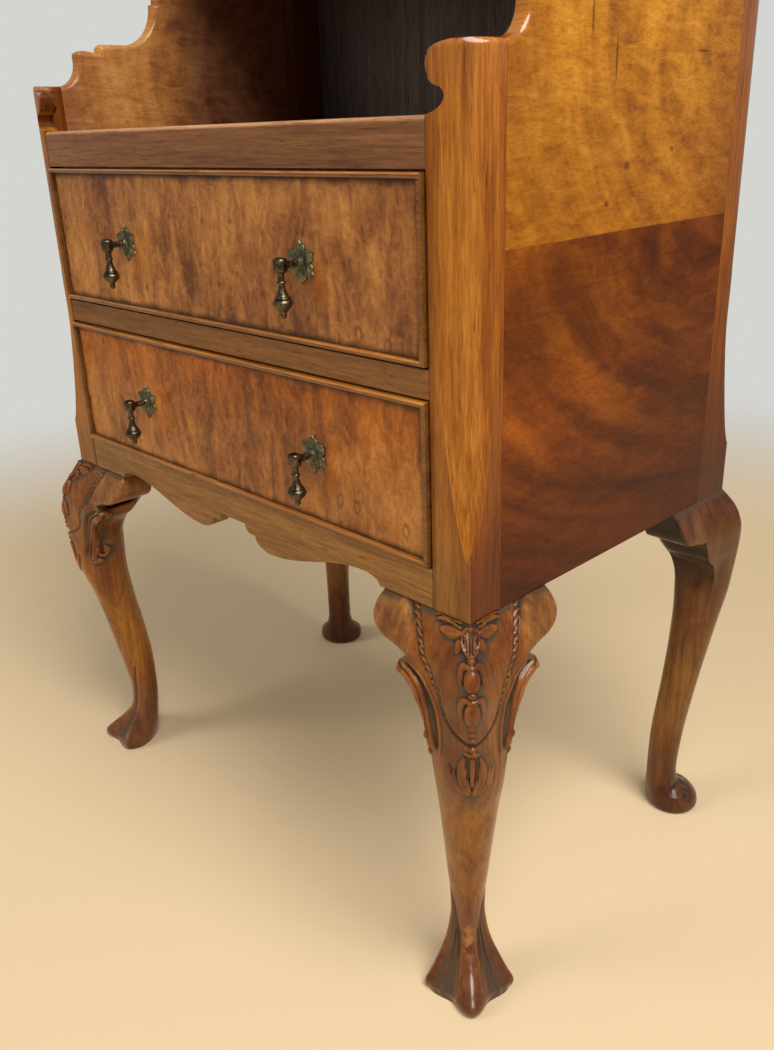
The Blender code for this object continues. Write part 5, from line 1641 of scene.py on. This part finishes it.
# Knee ears, in millimetres; each tail carries an ear's edge on to its cusp on the leg
EAR_TAIL = {"front": ((57.0, 37.6), (51.5, 40.5)), "rear": ((58.0, 36.8), (51.0, 38.5))}
EAR_SEAM = 46.0
EAR_SINK = 0.35
EAR_DEPTH = 30.0
EAR_NOSE = 4.5
EAR_SMOOTH = math.radians(50)
EAR_FACE_COLUMNS = 44
EAR_WALL_COLUMNS = 10
EAR_ROWS = 64


def ear_outline(end):
    """Edge of an ear as (along the face, drop), from the case down to its cusp on the leg."""
    vertices = frame["nodes"][f"{end}_right_knee_ear_end"].data.vertices
    points = np.array([v.co for v in vertices])
    reach, drop = (CASE_HALF - points[:, 0]) / MM, (CASE_BASE - points[:, 2]) / MM
    edge = [(reach[np.abs(drop - level) < 0.05].max(), level) for level in np.unique(np.round(drop, 2))]
    return smooth_line((*edge, *EAR_TAIL[end]), 12)


def face_stand(end, rear, drop):
    """How far the face of a leg's block stands out from the case at a drop below it."""
    heights, sections = leg_rings(f"{end}_right_leg", rear)
    stand = (sections[:, SIDE_INDEX, 0] - sections[:, SIDE_INDEX, 1]) / DIAGONAL / MM
    wanted = np.clip(CASE_BASE - drop * MM, heights[0], heights[-1])
    return between_levels(heights, stand, wanted.ravel()).reshape(wanted.shape)


def ear_rings(end, rear):
    """Closed sections of an ear, each from the leg out over its face, back along its edge and home."""
    outline = ear_outline(end)
    share = np.linspace(0, 1, EAR_ROWS)
    edge = spread(outline[None], share)[0][0]
    seam_drop = edge[0, 1] + (edge[-1, 1] - edge[0, 1]) * share
    seam = np.stack((np.full(EAR_ROWS, EAR_SEAM), seam_drop), axis=-1)
    u = np.sin(np.linspace(0, math.pi / 2, EAR_FACE_COLUMNS))[None, :, None]
    along, drop = np.moveaxis(seam[:, None] * (1 - u) + edge[:, None] * u, -1, 0)
    gap, _, _ = along_line(along, drop, outline)
    gap[:, -1] = 0.0
    stand = face_stand(end, rear, drop)
    roll = EAR_NOSE - np.sqrt(np.clip(EAR_NOSE ** 2 - np.clip(EAR_NOSE - gap, 0, EAR_NOSE) ** 2, 0, None))
    relief = np.zeros_like(along)
    if not rear:
        line, beyond = rope(along + stand, drop)
        relief = line + ear_pillow(drop, beyond)
    inward = -stand - relief + roll + EAR_SINK * ease((50.0 - along) / 1.5)
    wall_share = np.linspace(0, 1, EAR_WALL_COLUMNS)[1:]
    wall_inward = inward[:, -1:] + (EAR_DEPTH - inward[:, -1:]) * wall_share
    wall = [np.broadcast_to(edge[:, :1], wall_inward.shape), wall_inward,
            np.broadcast_to(edge[:, 1:], wall_inward.shape)]
    back = edge[:, None] + (seam - edge)[:, None] * np.array((0.5, 1.0))[None, :, None]
    home = [back[..., 0], np.full(back.shape[:2], EAR_DEPTH), back[..., 1]]
    runs = zip((along, inward, drop), wall, home)
    rings = np.stack([np.concatenate(run, axis=1) for run in runs], axis=-1)
    # Dust and painted shade of the ear: dust in its carving, a painted shadow line under the case.
    ear_dust_and_shade = np.zeros(rings.shape[:2])
    ear_dust_and_shade[:, :EAR_FACE_COLUMNS] = dust_and_shade(relief, drop, closed=False)
    return rings, ear_dust_and_shade


def add_ears():
    """Two ears beside each knee, one along the front or back and one along the side."""
    for end, rear in ENDS:
        rings, ear_dust_and_shade = ear_rings(end, rear)
        along, inward, drop = np.moveaxis(rings * MM, -1, 0)
        height = np.minimum(CASE_BASE - drop, LEG_TOP)
        places = {"end": (-along, inward, height), "side": (-inward, along, height)}
        for hand, side in SIDES:
            for place, parts in places.items():
                node = f"{end}_{hand}_knee_ear_{place}"
                mesh = loft_mesh(node, to_world(np.stack(parts, axis=-1), side, rear), EAR_SMOOTH)
                store(mesh, "hollow", ear_dust_and_shade)
                store(mesh, "worn", np.zeros_like(ear_dust_and_shade))
                add_piece(node, mesh, "leg_walnut")


# Stage, light and camera
FLOOR_RADIUS = 9.0
FLOOR_STEPS = 96
FLOOR_FADE = (0.85, 1.9)
FLOOR_COLOUR = (0.69, 0.540, 0.340)
BACKDROP_COLOUR = (0.66, 0.66, 0.635)
ROOM_COLOUR = (1.0, 0.98, 0.95)
ROOM_STRENGTH = 0.32
CAMERA_PLACE = (0.6877, FRONT_Y - 0.4587, CASE_BASE + 0.33135)
CAMERA_FORWARD = Vector((-0.67028, 0.63544, -0.38332))
CAMERA_RIGHT = Vector((0.69778, 0.71550, -0.03406))
CAMERA_LENS = 33.03
CAMERA_SENSOR = 36.0
CAMERA_NEAR = 0.01

# Lamps, each a name, a place, a target, a power, a colour and whether it shows in gloss
LAMP_SIZE = 1.8
LAMPS = (("overhead", (1.55, -0.40, 2.6), (0.1, 0.0, 0.5), 86.0, (1.0, 0.96, 0.90), True),
         ("front_left", (-1.5, -2.7, 1.9), (0.0, 0.0, 0.5), 48.0, (1.0, 0.98, 0.95), False))


def add_stage():
    """A round pale floor that fades into the plain background."""
    mesh = bpy.data.meshes.new("floor")
    turns = np.linspace(0, 2 * math.pi, FLOOR_STEPS, endpoint=False)
    rim = [(FLOOR_RADIUS * math.cos(t), FLOOR_RADIUS * math.sin(t), 0.0) for t in turns]
    mesh.from_pydata(rim, [], [range(FLOOR_STEPS)])
    paint = Finish("floor_paint")
    paint.set(Base_Color=colour(*FLOOR_COLOUR), Roughness=0.9, Specular_IOR_Level=0.2)
    seen = paint.value("Is Camera Ray", "ShaderNodeLightPath")
    fade = paint.between(paint.length(), *FLOOR_FADE) * seen
    glow = paint.value(0, "ShaderNodeEmission", (("Color", colour(*BACKDROP_COLOUR)),))
    inputs = ((0, fade), (1, Value(paint, paint.surface.outputs[0])), (2, glow))
    paint.feed(paint.tree.nodes["Material Output"].inputs["Surface"],
               paint.value(0, "ShaderNodeMixShader", inputs))
    mesh.materials.append(paint.material)
    new_object("floor", mesh)


def add_lamp(name, place, target, power, tint, in_gloss):
    """A round area lamp that faces its target."""
    lamp = bpy.data.lights.new(name, "AREA")
    lamp.shape = "DISK"
    lamp.size = LAMP_SIZE
    lamp.energy = power
    lamp.color = tint
    holder = new_object(name, lamp)
    holder.location = place
    holder.rotation_euler = (Vector(target) - Vector(place)).to_track_quat("-Z", "Y").to_euler()
    holder.visible_glossy = in_gloss


def add_room():
    """Even light from all round; the camera sees the plain background colour instead."""
    world = bpy.data.worlds.new("soft_room")
    world.use_nodes = True
    tree = world.node_tree
    room = tree.nodes["Background"]
    room.inputs["Color"].default_value = colour(*ROOM_COLOUR)
    room.inputs["Strength"].default_value = ROOM_STRENGTH
    plain = tree.nodes.new("ShaderNodeBackground")
    plain.inputs["Color"].default_value = colour(*BACKDROP_COLOUR)
    chosen = tree.nodes.new("ShaderNodeMixShader")
    seen = tree.nodes.new("ShaderNodeLightPath").outputs["Is Camera Ray"]
    for socket, source in zip(chosen.inputs, (seen, room.outputs[0], plain.outputs[0])):
        tree.links.new(source, socket)
    tree.links.new(chosen.outputs[0], tree.nodes["World Output"].inputs["Surface"])
    bpy.context.scene.world = world


def add_camera():
    """The camera, aimed by its forward and right directions."""
    camera = bpy.data.cameras.new("camera")
    camera.lens = CAMERA_LENS
    camera.sensor_width = CAMERA_SENSOR
    camera.clip_start = CAMERA_NEAR
    holder = new_object("camera", camera)
    forward, right = CAMERA_FORWARD.normalized(), CAMERA_RIGHT.normalized()
    up = right.cross(forward)
    turned = Matrix((right, up, -forward)).transposed()
    holder.matrix_world = Matrix.Translation(CAMERA_PLACE) @ turned.to_4x4()
    bpy.context.scene.camera = holder


add_camera()
add_posts()
add_side_panels()
add_apron()
add_top_rail()
add_gallery()
add_plain_boards()
for drawer in DRAWERS:
    add_drawer(drawer)
add_handles()
add_legs()
add_ears()
add_stage()
add_room()
for lamp in LAMPS:
    add_lamp(*lamp)
bpy.context.scene.view_settings.view_transform = "Standard"
